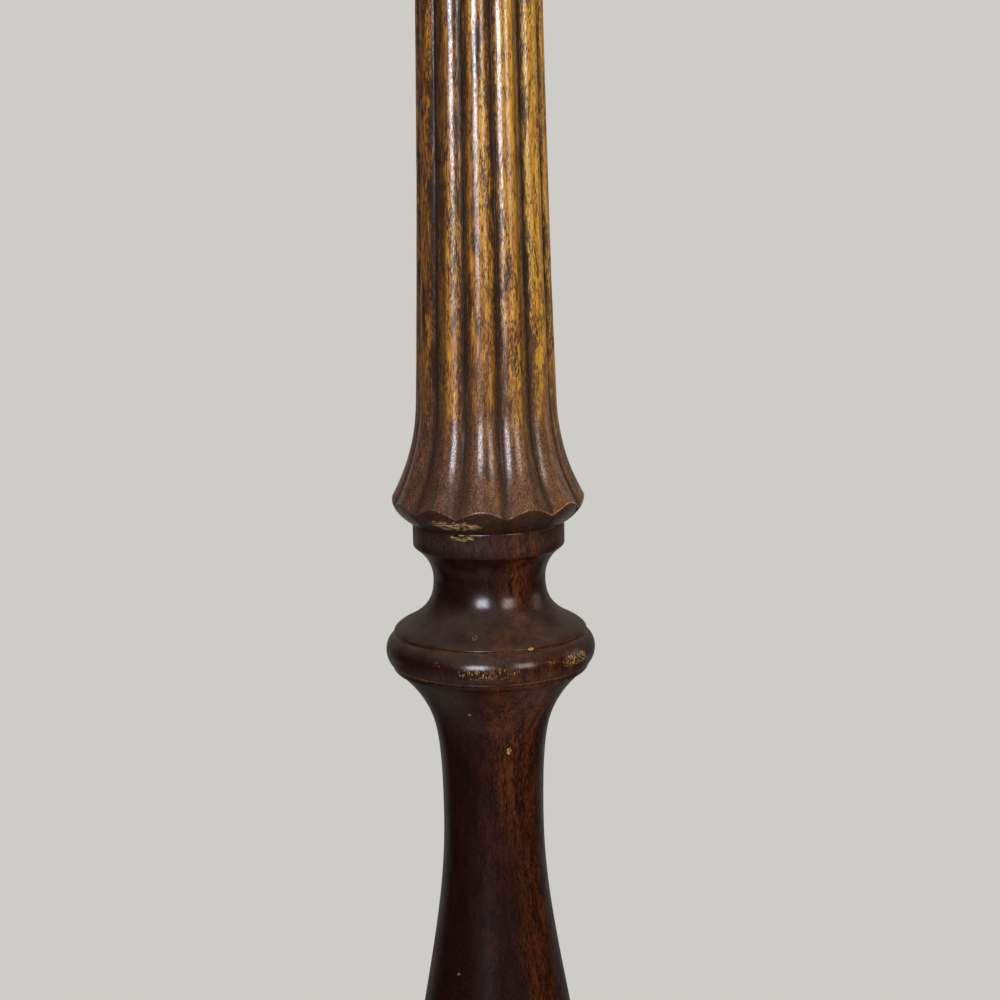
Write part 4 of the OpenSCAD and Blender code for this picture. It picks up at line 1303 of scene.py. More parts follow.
@dataclass
class Base:
    """Round base on bun feet, weighted from below."""

    wood: TurnedWood
    fit: Fit
    radius: float = 150.0
    rim_rise: float = 16.0
    ballast_radius: float = 84.2
    ballast_rise: float = 12.0
    foot_radius: float = 23.0
    foot_neck: float = 15.0
    dowel: float = 7.0
    dowel_rise: float = 13.5
    pad_rise: float = 2.0
    riser_radius: float = 96.0
    riser_neck: float = 46.0
    inlet_radius: float = 6.5
    inlet_depth: float = 14.5
    passage: float = 4.5
    inlet_sides: int = 40
    inlet_sharp: float = 50.0
    feet: tuple[int, ...] = (1, 2, 3)
    z: float = level("base_disc")
    riser_z: float = level("base_riser")
    top: float = level("baluster_stem")

    def build(self) -> None:
        """Build and dress the whole base."""
        for number in self.feet:
            self.foot(number)
        self.disc()
        self.riser()
        dress(IRON, "ballast_weight")
        dress(STEEL, "ballast_screws", "bottom_washer", "bottom_nut", "lower_pipe")
        dress(FELT, "baize_cover", *(f"foot_pad_{n}" for n in self.feet))
        dress(PHENOLIC, "cord_bush")
        dress(BRASS, "pipe_coupling")

    def foot(self, number: int) -> None:
        """Turn one bun foot with its dowel.

        Args:
            number: Its number, from 1.
        """
        low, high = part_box(f"foot_{number}")
        centre = ((low.x + high.x) / 2 / MM, (low.y + high.y) / 2 / MM)
        belly = self.pad_rise + (self.z - self.pad_rise) * 0.45
        outline = Outline((0, self.pad_rise), (self.foot_neck - 1, self.pad_rise))
        outline.curve(15, (self.foot_radius, belly), 90, 0.4, 0.45)
        outline.curve(90, (self.foot_neck, self.z - 4), 170, 0.5, 0.4)
        outline.to((self.foot_neck + 1.5, self.z - 4), (self.foot_neck + 1.5, self.z),
                   (self.dowel, self.z), (self.dowel, self.z + self.dowel_rise),
                   (0, self.z + self.dowel_rise))
        piece = turn_piece(f"bun_foot_{number}", outline, self.wood, centre, 96, step=2.5)
        place_piece(piece, Body.STAND, "dark_wood", f"foot_{number}")

    def disc(self) -> None:
        """Turn the base disc, and bore the cord's way into its edge."""
        top, rim, edge = self.riser_z, self.z + 2 + self.rim_rise, self.radius
        seat = self.z + self.ballast_rise
        outline = Outline((self.fit.bore, seat), (self.ballast_radius, seat),
                          (self.ballast_radius, self.z), (edge - 2, self.z))
        outline.arc((edge - 2, self.z + 2), 2, -90, 0, steps=4)
        outline.to((edge, rim), (edge - 3, rim), (edge - 3, rim + 1.5))
        outline.curve(90, (edge - 17, top - 2), 165, 0.42, 0.42)
        outline.to((edge - 19, top - 2), (edge - 19, top), *self.fit.head(top))
        piece = turn_piece("base_turning", outline, self.wood, segments=240, ease=0.8,
                           step=4.0, reach=2.2)
        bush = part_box("cord_bush")
        self.bore(piece, (bush[0].z + bush[1].z) / 2 / MM)
        place_piece(piece, Body.STAND, "dark_wood", "base_disc")

    def bore(self, piece: Object, height: float) -> None:
        """Cut the stepped hole for the cord and its bush.

        Args:
            piece: The base disc.
            height: Height of the hole's axis in millimetres.
        """
        inner, seat = self.radius - self.inlet_depth, self.radius + 4
        steps = [(self.passage, self.ballast_radius - 4), (self.passage, inner),
                 (self.inlet_radius, inner), (self.inlet_radius, seat)]
        sides = self.inlet_sides
        points = [(0.0, steps[0][1], height)]
        points += [(r * math.cos(a), y, height + r * math.sin(a)) for r, y in steps
                   for a in spokes(sides)]
        points.append((0.0, seat, height))
        faces: list[list[int]] = []
        for k in range(sides):
            n = (k + 1) % sides
            faces.append([0, 1 + k, 1 + n])
            for row in range(len(steps) - 1):
                a, b = 1 + row * sides, 1 + (row + 1) * sides
                faces.append([a + k, b + k, b + n, a + n])
            last = 1 + (len(steps) - 1) * sides
            faces.append([last + k, len(points) - 1, last + n])
        cutter = mesh_object("cord_way_cutter", np.array(points), faces)
        modifier = piece.modifiers.new("cord_way", "BOOLEAN")
        modifier.operation, modifier.object, modifier.solver = "DIFFERENCE", cutter, "EXACT"
        piece.data = evaluated(piece)
        bpy.data.objects.remove(cutter)
        piece.data.set_sharp_from_angle(angle=math.radians(self.inlet_sharp))

    def riser(self) -> None:
        """Turn the bell-shaped riser."""
        z, top, edge, bead = self.riser_z, self.top, self.riser_radius, 3.5
        neck = (self.riser_neck - 2, top - 8)
        outline = self.fit.mouth(z).to(
            (edge - 1, z), (edge, z + 1), (edge, z + 4), (edge - 1.5, z + 4))
        outline.arc((edge - 1.5 - bead, z + 4 + bead), bead, -60, 90, steps=8)
        outline.to((edge - 9, z + 4 + 2 * bead), (edge - 9, z + 5.5 + 2 * bead))
        outline.curve(165, neck, 90, 0.5, 0.45, 12)
        outline.to((self.riser_neck + 1, top - 8), (self.riser_neck + 1, top - 6))
        outline.curve(60, (self.riser_neck - 2, top), 150, 0.5, 0.5, 6)
        outline.to(*self.fit.head(top))
        piece = turn_piece("riser_turning", outline, self.wood, segments=200, step=4.0,
                           reach=1.8)
        place_piece(piece, Body.STAND, "dark_wood", "base_riser")


# ---- stem and column

@dataclass
class Stem:
    """Turned stem: a vase, a waist, the ring, a neck and the collar under the column."""

    wood: TurnedWood
    fit: Fit
    collar: float = 27.0
    collar_rise: float = 8.2
    neck: float = 20.0
    ring: float = 37.5
    ring_round: float = 6.5
    ring_sag: float = 1.14
    waist: float = 18.2
    vase: float = 40.0
    vase_rise: float = 115.0
    foot: float = 42.0
    neck_drop: float = 21.4
    shoulder_drop: float = 39.8
    ring_drop: float = 46.7
    cove_drop: float = 74.5
    waist_drop: float = 109.4
    swell_drop: float = 183.8
    z: float = level("baluster_stem")
    top: float = level("reeded_column")

    def build(self) -> None:
        """Turn the stem."""
        place_piece(turn_piece("stem_turning", self.outline(), self.wood, segments=136,
                               ease=0.35, step=2.4, reach=0.9),
                    Body.STAND, "dark_wood", "baluster_stem")

    def outline(self) -> Outline:
        """Draw the stem.

        Returns:
            The outline, from its foot to its head.
        """
        z, top, foot, shoulder = self.z, self.top, self.foot, self.ring - 3
        fillet = (shoulder + 0.7, top - self.ring_drop - 5.5)
        ring = (self.ring - self.ring_round, top - self.ring_drop)
        outline = self.fit.mouth(z).to(
            (foot - 1, z), (foot, z + 1), (foot, z + 5), (foot - 2, z + 6))
        outline.arc((foot - 4.5, z + 11), 5, -75, 80, steps=8)
        outline.to((foot - 6, z + 16), (foot - 6, z + 19))
        outline.curve(175, (foot - 19, z + 36), 90, 0.45, 0.45)
        outline.curve(90, (self.vase, z + self.vase_rise), 90, 0.42, 0.46, 12)
        outline.curve(90, (self.waist + 9, top - self.swell_drop), 100, 0.36, 0.36, 10)
        outline.curve(100, (self.waist, top - self.waist_drop), 90, 0.4, 0.33)
        outline.curve(90, (self.waist + 2.4, top - self.cove_drop), 76, 0.45, 0.22, 7)
        outline.curve(76, (fillet[0] - 1.9, fillet[1] - 2.5), 41, 0.36, 0.3)
        outline.curve(20, fillet, 90, 0.4, 0.4, 3)
        outline.to((fillet[0], fillet[1] + 0.5), (fillet[0] - 0.7, fillet[1] + 0.8))
        outline.arc(ring, self.ring_round, -42, -6, self.ring_sag, 6)
        outline.arc(ring, self.ring_round, 0, 58, steps=8)
        outline.to((shoulder - 0.7, top - self.shoulder_drop - 1.2),
                   (shoulder, top - self.shoulder_drop - 1), (shoulder, top - self.shoulder_drop))
        outline.curve(125, (shoulder - 5.7, top - 36), 149, 0.33, 0.33, 5)
        outline.curve(149, (self.neck, top - self.neck_drop), 90, 0.42, 0.42, 10)
        outline.curve(90, (self.collar - 1.8, top - self.collar_rise - 2.2), 40, steps=8)
        outline.curve(40, (self.collar, top - self.collar_rise), 90, 0.4, 0.4, 5)
        outline.to((self.collar, top - 0.6), (self.collar - 0.6, top), *self.fit.head(top))
        return outline


@dataclass
class ReededColumn:
    """Column of round reeds that flare out and end in a scalloped line over a plain ovolo."""

    fit: Fit
    wood: ReedWood
    reeds: int = 12
    reed_depth: float = 2.3
    turn: float = 11.0
    shaft: float = 19.6
    swell: float = 6.5
    swell_rise: float = 155.0
    flare: float = 8.3
    flare_rise: float = 35.0
    flare_power: float = 2.2
    lip: float = 34.05
    lip_rise: float = 8.0
    lip_in: float = 5.75
    coupling: float = 7.9
    coupling_rise: float = 40.0
    waver: float = 0.35
    z: float = level("reeded_column")
    top: float = level("capital")

    def build(self) -> None:
        """Run the column's recipe and set the piece on the stand."""
        piece = self.recipe().run(
            "reeded_turning", self.wood, Foot_height=self.z, Column_height=self.top - self.z,
            Reeds=self.reeds, Turn=math.radians(self.turn))
        place_piece(piece, Body.STAND, "amber_wood", "reeded_column")
        dress(STEEL, "upper_pipe")

    def recipe(self) -> Recipe:
        """Write the column as a grid that is rolled up and shaped by the reeds' formula.

        Returns:
            The recipe, with the column's sizes as its inputs.
        """
        tree = Recipe("reeded_column", {
            "Foot height": 0.0, "Column height": 650.6, "Reeds": self.reeds, "Turn": 0.0,
            "Reed depth": self.reed_depth, "Shaft radius": self.shaft, "Swell": self.swell,
            "Swell height": self.swell_rise, "Flare": self.flare,
            "Flare height": self.flare_rise, "Flare power": self.flare_power,
            "Lip radius": self.lip, "Lip height": self.lip_rise, "Lip in": self.lip_in,
            "Bore radius": self.fit.bore, "Waver": self.waver, "Steps per reed": 26,
            "Lip rows": 16, "Shaft rows": 150})
        given = tree.given
        lip, lip_rows, shaft_rows = (
            given[name] for name in ("Lip height", "Lip rows", "Shaft rows"))
        inner = [(self.fit.bore, self.coupling_rise), (self.coupling, self.coupling_rise),
                 (self.coupling, self.fit.socket_depth), (self.fit.socket, self.fit.socket_depth),
                 (self.fit.socket, 0.0)]
        rows = lip_rows + shaft_rows + len(inner) + 5
        columns = given["Reeds"] * given["Steps per reed"]
        grid = tree.node("GeometryNodeMeshGrid", {
            "Size X": 1.0, "Size Y": 1.0, "Vertices X": columns + 1, "Vertices Y": rows})
        x, y, _ = tree.axes(tree.node("GeometryNodeInputPosition"))
        share = x + 0.5
        row = tree.math("ROUND", (y + 0.5) * (rows - 1.0))

        pitch = FULL_TURN / given["Reeds"]
        local = tree.math("FRACT", share * given["Reeds"] + 1e-5)
        offset = local - 0.5
        angle = offset * pitch

        def crest(w: Num) -> Num:
            """Work out the line over a reed's crest.

            Args:
                w: Height above the lip.

            Returns:
                The radius there.
            """
            swelling = (-w / given["Swell height"]).exponent() * given["Swell"]
            rest = (1.0 - w / given["Flare height"]).most(0.0)
            return given["Shaft radius"] + swelling + given["Flare"] * rest ** given["Flare power"]

        def reed(w: Num) -> Num:
            """Work out the round of the reed.

            Args:
                w: Height above the lip.

            Returns:
                The radius there.
            """
            high = crest(w)
            groove = high - given["Reed depth"]
            c = (pitch * 0.5).cosine()
            bend = ((groove * groove + high * high - groove * high * c * 2.0)
                    / ((high - groove * c) * 2.0))
            middle = high - bend
            side = middle * angle.sine()
            return middle * angle.cosine() + (bend * bend - side * side).root()

        def ovolo(w: Num) -> Num:
            """Radius of the moulding under the lip at height w."""
            below = w.least(0.0) / lip
            return given["Lip radius"] - given["Lip in"] * below * below

        level = share * 0.0
        slope = (given["Swell"] / given["Swell height"]
                 + given["Flare"] * given["Flare power"] / given["Flare height"])
        bow = given["Lip in"] / (lip * lip) + 0.009
        gap = given["Lip radius"] - reed(level)
        run_out = (slope - (slope * slope + bow * gap * 4.0).most(0.0).root()) / (bow * 2.0)

        first = float(len(inner))
        lip_share = ((row - first) / lip_rows).within()
        up_share = ((row - first - lip_rows) / shaft_rows).within()
        head = given["Column height"] - lip
        above = up_share * 0.05 + (up_share ** 3.6) * 0.95
        w = -lip + (run_out + lip) * (2.0 - lip_share) * lip_share + (head - run_out) * above
        radius = tree.math("SMOOTH_MIN", reed(w), ovolo(w), 0.25)
        height = w + lip

        top = given["Column height"]
        outer = row.over(first - 0.5) * ((first + 0.5) + lip_rows + shaft_rows).over(row)
        radius, height = radius * outer, height * outer
        last = first + lip_rows + shaft_rows
        ends = list(enumerate(inner)) + [
            (last + 1.0, (self.fit.spigot, top)),
            (last + 2.0, (self.fit.spigot, top + self.fit.spigot_rise)),
            (last + 3.0, (given["Bore radius"], top + self.fit.spigot_rise)),
            (last + 4.0, inner[0])]
        for place, (end_radius, end_height) in ends:
            here = tree.math("COMPARE", row, place, 0.25)
            radius, height = radius + here * end_radius, height + here * end_height

        theta = share * FULL_TURN - math.pi / 2 + given["Turn"]
        wander = tree.noise(
            tree.vector(theta.cosine() * 2.0, theta.sine() * 2.0, height / 45.0)) - 0.5
        theta = theta + wander * outer * given["Waver"] * 0.06
        hand = tree.noise(
            tree.vector(theta.cosine() * 3.0, theta.sine() * 3.0, height / 18.0)) - 0.5
        radius = radius + hand * outer * given["Waver"]
        marks = {
            "groove": abs(offset) * 2.0 * outer,
            "flank": offset * 2.0 * outer,
            "edge": (-(abs(w - run_out) / 0.42) ** 2.0).exponent() * outer,
            "under": (run_out - w).step(0.0, 0.5) * outer}
        geometry = grid.outputs["Mesh"]
        for label, value in marks.items():
            geometry = tree.node("GeometryNodeStoreNamedAttribute", {
                "Geometry": geometry, "Name": label, "Value": value},
                data_type="FLOAT", domain="POINT")
        shaped = tree.node("GeometryNodeSetPosition", {
            "Geometry": geometry,
            "Position": tree.vector(radius * theta.cosine(), radius * theta.sine(),
                                    height + given["Foot height"])})
        tree.close(tree.node("GeometryNodeMergeByDistance", {
            "Geometry": shaped, "Distance": 0.01}))
        return tree


@dataclass
class Head:
    """Turned capital and candle cup on top of the column, and the brass check ring."""

    wood: TurnedWood
    fit: Fit
    capital: float = 30.0
    neck: float = 22.6
    pan: float = 37.0
    cup: float = 24.0
    ring: float = 21.0
    ring_bore: float = 5.05
    ridges: int = 120
    z: float = level("capital")
    cup_z: float = level("candle_cup")
    top: float = level("candle_cup", top_of)
    ring_top: float = level("harp_saddle")

    def build(self) -> None:
        """Turn the three pieces and knurl the check ring's edge."""
        for node, outline in (("capital", self.capital_outline()),
                              ("candle_cup", self.cup_outline())):
            place_piece(turn_piece(f"{node}_turning", outline, self.wood, segments=144,
                                   ease=0.4, step=2.5, reach=1.0),
                        Body.STAND, "dark_wood", node)
        place_piece(turn_piece("check_ring_turning", self.ring_outline(), BRASS,
                               segments=120, ease=0.15, step=2.0),
                    Body.STAND, "brass", "check_ring")
        knurl = Bars.once().run(
            "check_ring_knurl", BRASS, Radius=self.ring - 0.1, Height=self.top + 0.75,
            Count=self.ridges, Thickness=0.28, Length=1.2, Standing=1.0)
        place_piece(knurl, Body.STAND, "brass")

    def capital_outline(self) -> Outline:
        """Draw the capital.

        Returns:
            Its outline.
        """
        z, top, neck = self.z, self.cup_z, self.neck
        outline = self.fit.mouth(z).to((neck - 0.5, z), (neck, z + 0.5))
        outline.arc((neck - 0.5, z + 3.5), 3, -80, 90, steps=7)
        outline.to((neck - 3, z + 6.5), (neck - 3, z + 8))
        outline.curve(150, (neck - 7, z + 17), 90, 0.4, 0.45, 6)
        outline.curve(90, (self.capital - 4, top - 13), 20, 0.5, 0.4, 10)
        outline.to((self.capital - 4, top - 11.5))
        outline.arc((self.capital - 5, top - 6.5), 5, -75, 75, steps=8)
        return outline.to((self.capital - 6, top - 1), (self.capital - 7, top),
                          *self.fit.head(top))

    def cup_outline(self) -> Outline:
        """Draw the candle cup with its drip pan.

        Returns:
            Its outline.
        """
        z, top, throat = self.cup_z, self.top, self.cup - 10
        outline = self.fit.mouth(z).to((self.fit.spigot + 8, z))
        outline.curve(20, (self.pan - 1, z + 5), 50, 0.4, 0.4, 6)
        outline.to((self.pan, z + 6.5), (self.pan - 1, z + 7), (self.pan - 3, z + 5.8))
        outline.curve(200, (throat, z + 11), 90, 0.5, 0.5, 8)
        outline.curve(90, (self.cup - 2, top - 7), 60, 0.4, 0.45, 8)
        outline.to((self.cup - 1.5, top - 5.5))
        outline.arc((self.cup - 2.5, top - 3), 2.5, -60, 90, steps=6)
        return outline.to((self.fit.bore, top - 0.5))

    def ring_outline(self) -> Outline:
        """Draw the check ring.

        Returns:
            Its outline.
        """
        z, top, hub = self.top - 0.5, self.ring_top, 10.0
        outline = Outline((self.ring_bore, z), (self.ring - 0.5, z), (self.ring, z + 0.5),
                          (self.ring, z + 2))
        outline.curve(150, (hub, top - 1.2), 180, 0.4, 0.4, 7)
        return outline.to((hub, top), (self.ring_bore, top))


class Bars(Recipe):
    """A ring of small bars: upright as the ridges of a knurl, or lying as a row of stitches."""

    def __init__(self) -> None:
        """Write the recipe; its input Standing is 1 for upright bars and 0 for lying ones."""
        super().__init__("ring_of_bars", {
            "Radius": 20.0, "Height": 0.0, "Count": 60, "Thickness": 0.3, "Length": 2.0,
            "Standing": 0.0, "Seed": 3})
        given = self.given
        circle = self.node("GeometryNodeCurvePrimitiveCircle", {
            "Resolution": 96, "Radius": given["Radius"]})
        spots = self.node("GeometryNodeCurveToPoints", {
            "Curve": circle, "Count": given["Count"]})
        bar = self.node("GeometryNodeMeshCylinder", {
            "Vertices": 6, "Radius": given["Thickness"], "Depth": given["Length"]})
        jitter = self.node("FunctionNodeRandomValue", {
            "Min_001": 0.85, "Max_001": 1.1, "Seed": given["Seed"]}, data_type="FLOAT")
        turn = self.node("GeometryNodeSwitch", {
            "Switch": given["Standing"].over(0.5), "False": spots.outputs["Rotation"],
            "True": self.node("FunctionNodeEulerToRotation")}, input_type="ROTATION")
        row = self.node("GeometryNodeInstanceOnPoints", {
            "Points": spots, "Instance": bar, "Rotation": turn,
            "Scale": self.vector(1.0, 1.0, jitter.outputs[1])})
        lifted = self.node("GeometryNodeTransform", {
            "Geometry": row, "Translation": self.vector(0.0, 0.0, given["Height"])})
        self.close(lifted)


# ---- harp, socket and bulb

@dataclass
class Harp:
    """Brass harp with its saddle, sleeves and stud, and the turned finial."""

    stud: float = 3.05
    finial_rise: float = 36.0
    stud_rise: float = 15.0
    z: float = level("finial")

    def build(self) -> None:
        """Turn the finial and dress the rest."""
        z, top = self.z, self.z + self.finial_rise
        outline = Outline((self.stud, z), (8.5, z), (9, z + 0.5), (9, z + 2))
        outline.curve(150, (4.6, z + 8), 90, 0.4, 0.4, 6).to((4.6, z + 9.5))
        outline.arc((4.6, z + 10.7), 1.8, -60, 60, steps=5)
        outline.curve(40, (8, top - 12), 90, 0.4, 0.45, 6)
        outline.curve(90, (0, top), 180, 0.55, 0.5, 9)
        outline.to((0, z + self.stud_rise), (self.stud, z + self.stud_rise))
        place_piece(turn_piece("finial_turning", outline, BRASS, segments=72, ease=0.15,
                               step=1.5), Body.FINIAL, "brass", "finial")
        knurl = Bars.once().run("finial_knurl", BRASS, Radius=8.95, Height=z + 1.2, Count=64,
                                  Thickness=0.2, Length=1.1, Standing=1.0)
        place_piece(knurl, Body.FINIAL, "brass")
        dress(BRASS, "harp_saddle", "harp_bow", "harp_stud", "harp_sleeve_left",
              "harp_sleeve_right")


@dataclass
class Socket:
    """Keyed brass lamp socket with a rolled screw shell."""

    pitch: float = 3.63
    screw_radius: float = 13.8
    screw_wall: float = 0.5
    thread: float = 0.35

    def build(self) -> None:
        """Roll the screw shell and dress the rest."""
        foot, top = foot_of("screw_shell"), top_of("screw_shell")
        shell = RolledThread.once().run(
            "rolled_screw_shell", NICKEL, Radius=self.screw_radius + self.thread,
            Depth=self.thread, Pitch=self.pitch, Foot_height=foot, Height=top - foot,
            Wall=self.screw_wall)
        place_piece(shell, Body.STAND, "nickel", "screw_shell")
        dress(BRASS, "socket_cap", "socket_shell", "centre_contact", "terminal_screws")
        dress(CARD, "insulating_sleeve")
        dress(PHENOLIC, "socket_body", "switch_key")
        dress(STEEL, "socket_set_screw", "switch_shaft")


class RolledThread(Recipe):
    """A thin tube with a thread rolled into its wall."""

    def __init__(self) -> None:
        """Write the recipe, with the thread's sizes as its inputs."""
        super().__init__("rolled_thread", {
            "Radius": 13.0, "Depth": 0.4, "Pitch": 3.6, "Foot height": 0.0, "Height": 25.0,
            "Wall": 0.5, "Around": 60, "Rows": 64})
        given = self.given
        double = given["Rows"] * 2.0
        grid = self.node("GeometryNodeMeshGrid", {
            "Size X": 1.0, "Size Y": 1.0, "Vertices X": given["Around"] + 1,
            "Vertices Y": double + 3.0})
        x, y, _ = self.axes(self.node("GeometryNodeInputPosition"))
        row = self.math("ROUND", (y + 0.5) * (double + 2.0))
        inside = row.over(given["Rows"] + 0.5) * (double + 1.5).over(row)
        up, down = row.least(given["Rows"]), (double + 1.0 - row).most(0.0)
        share = up.least(down) / given["Rows"]
        height = share * given["Height"]
        theta = (x + 0.5) * FULL_TURN
        fade = share.step(0.04, 0.14) * share.step(0.96, 0.86)
        wave = (height / given["Pitch"] * FULL_TURN - theta).sine() * fade
        radius = given["Radius"] + wave * given["Depth"] - inside * given["Wall"]
        shaped = self.node("GeometryNodeSetPosition", {
            "Geometry": grid, "Position": self.vector(
                radius * theta.cosine(), radius * theta.sine(), height + given["Foot height"])})
        self.close(self.node("GeometryNodeMergeByDistance", {
            "Geometry": shaped, "Distance": 0.001}))


@dataclass
class Bulb:
    """Clear lamp bulb with a rolled cap and a coiled filament."""

    radius: float = 30.0
    wall: float = 0.8
    cap: float = 13.0
    cap_wall: float = 0.6
    neck_depth: float = 12.0
    thread: float = 0.4
    pitch: float = 3.63
    post: float = 1.5
    lead: float = 24.0
    lead_tilt: float = 30.0
    coil_half: float = 13.4
    coil_radius: float = 0.5
    coil_turns: int = 34

    def build(self) -> None:
        """Blow the glass, roll the cap, wind the filament and dress the rest."""
        cap_z, cap_top = foot_of("bulb_cap"), top_of("bulb_cap")
        globe_z = top_of("bulb_glass") - self.radius
        outline = self.wall_line(Outline(), cap_top, globe_z, 0.0)
        inner = self.wall_line(Outline(), cap_top, globe_z, self.wall)
        outline.to(*reversed(inner.points))
        glass = turn_piece("bulb_glass_blown", outline, GLASS, segments=96, ease=0.1, step=3.0)
        place_piece(glass, Body.BULB, "clear_glass", "bulb_glass")
        cap = RolledThread.once().run(
            "bulb_rolled_cap", NICKEL, Radius=self.cap - self.thread, Depth=self.thread,
            Pitch=self.pitch, Foot_height=cap_z, Height=cap_top - cap_z, Wall=0.35)
        place_piece(cap, Body.BULB, "nickel", "bulb_cap")
        self.filament(top_of("bulb_mount"))
        dress(GLASS, "bulb_mount")
        dress(PHENOLIC, "bulb_insulator")
        dress(BRASS, "bulb_contact")

    def wall_line(self, line: Outline, neck_z: float, globe_z: float, inset: float) -> Outline:
        """Draw one face of the glass from its neck to its crown.

        Args:
            line: The outline to draw on.
            neck_z: Height of the neck's start.
            globe_z: Height of the globe's middle.
            inset: How far inside the outer face it lies.

        Returns:
            The outline.
        """
        neck = (self.cap - self.cap_wall - inset, neck_z)
        line.to((neck[0], neck_z - self.neck_depth), neck)
        line.curve(90, (self.radius - inset, globe_z), 90, 0.38, 0.5, 12)
        return line.curve(90, (0.0, globe_z + self.radius - inset), 180, 0.39, 0.39, 10)

    def filament(self, foot: float) -> None:
        """Wind the filament's coil and stand its two leads.

        Args:
            foot: Height of the mount's top.
        """
        tree = Recipe("coiled_filament", {
            "Foot height": 0.0, "Coil radius": self.coil_radius, "Coil half": self.coil_half,
            "Turns": float(self.coil_turns), "Wire radius": 0.1, "Lead radius": 0.3,
            "Post": self.post, "Lead": self.lead, "Tilt": self.lead_tilt})
        given = tree.given
        tilt = given["Tilt"] * math.radians(1.0)
        reach, rise = given["Lead"] * tilt.sine(), given["Lead"] * tilt.cosine()
        level = given["Foot height"] + rise
        spiral = tree.node("GeometryNodeCurveSpiral", {
            "Resolution": 10, "Rotations": given["Turns"], "Start Radius": given["Coil radius"],
            "End Radius": given["Coil radius"], "Height": given["Coil half"] * 2.0})
        laid = tree.node("GeometryNodeTransform", {
            "Geometry": spiral, "Rotation": (0.0, math.pi / 2, 0.0),
            "Translation": tree.vector(-given["Coil half"], 0.0, level)})
        wire = tree.node("GeometryNodeCurvePrimitiveCircle", {
            "Resolution": 5, "Radius": given["Wire radius"]})
        coil = tree.node("GeometryNodeCurveToMesh", {
            "Curve": laid, "Profile Curve": wire})
        rod = tree.node("GeometryNodeCurvePrimitiveCircle", {
            "Resolution": 10, "Radius": given["Lead radius"]})
        joined = tree.node("GeometryNodeJoinGeometry")
        tree.put(joined.inputs[0], coil)
        for side in (-1.0, 1.0):
            line = tree.node("GeometryNodeCurvePrimitiveLine", {
                "Start": tree.vector(given["Post"] * side, 0.0, given["Foot height"] - 0.5),
                "End": tree.vector((given["Post"] + reach) * side, 0.0, level + 0.2)})
            lead = tree.node("GeometryNodeCurveToMesh", {
                "Curve": line, "Profile Curve": rod, "Fill Caps": True})
            tree.put(joined.inputs[0], lead)
        tree.close(joined)
        piece = tree.run("filament_coil", TUNGSTEN, Foot_height=foot)
        place_piece(piece, Body.BULB, "tungsten", "bulb_filament")


# ---- shade

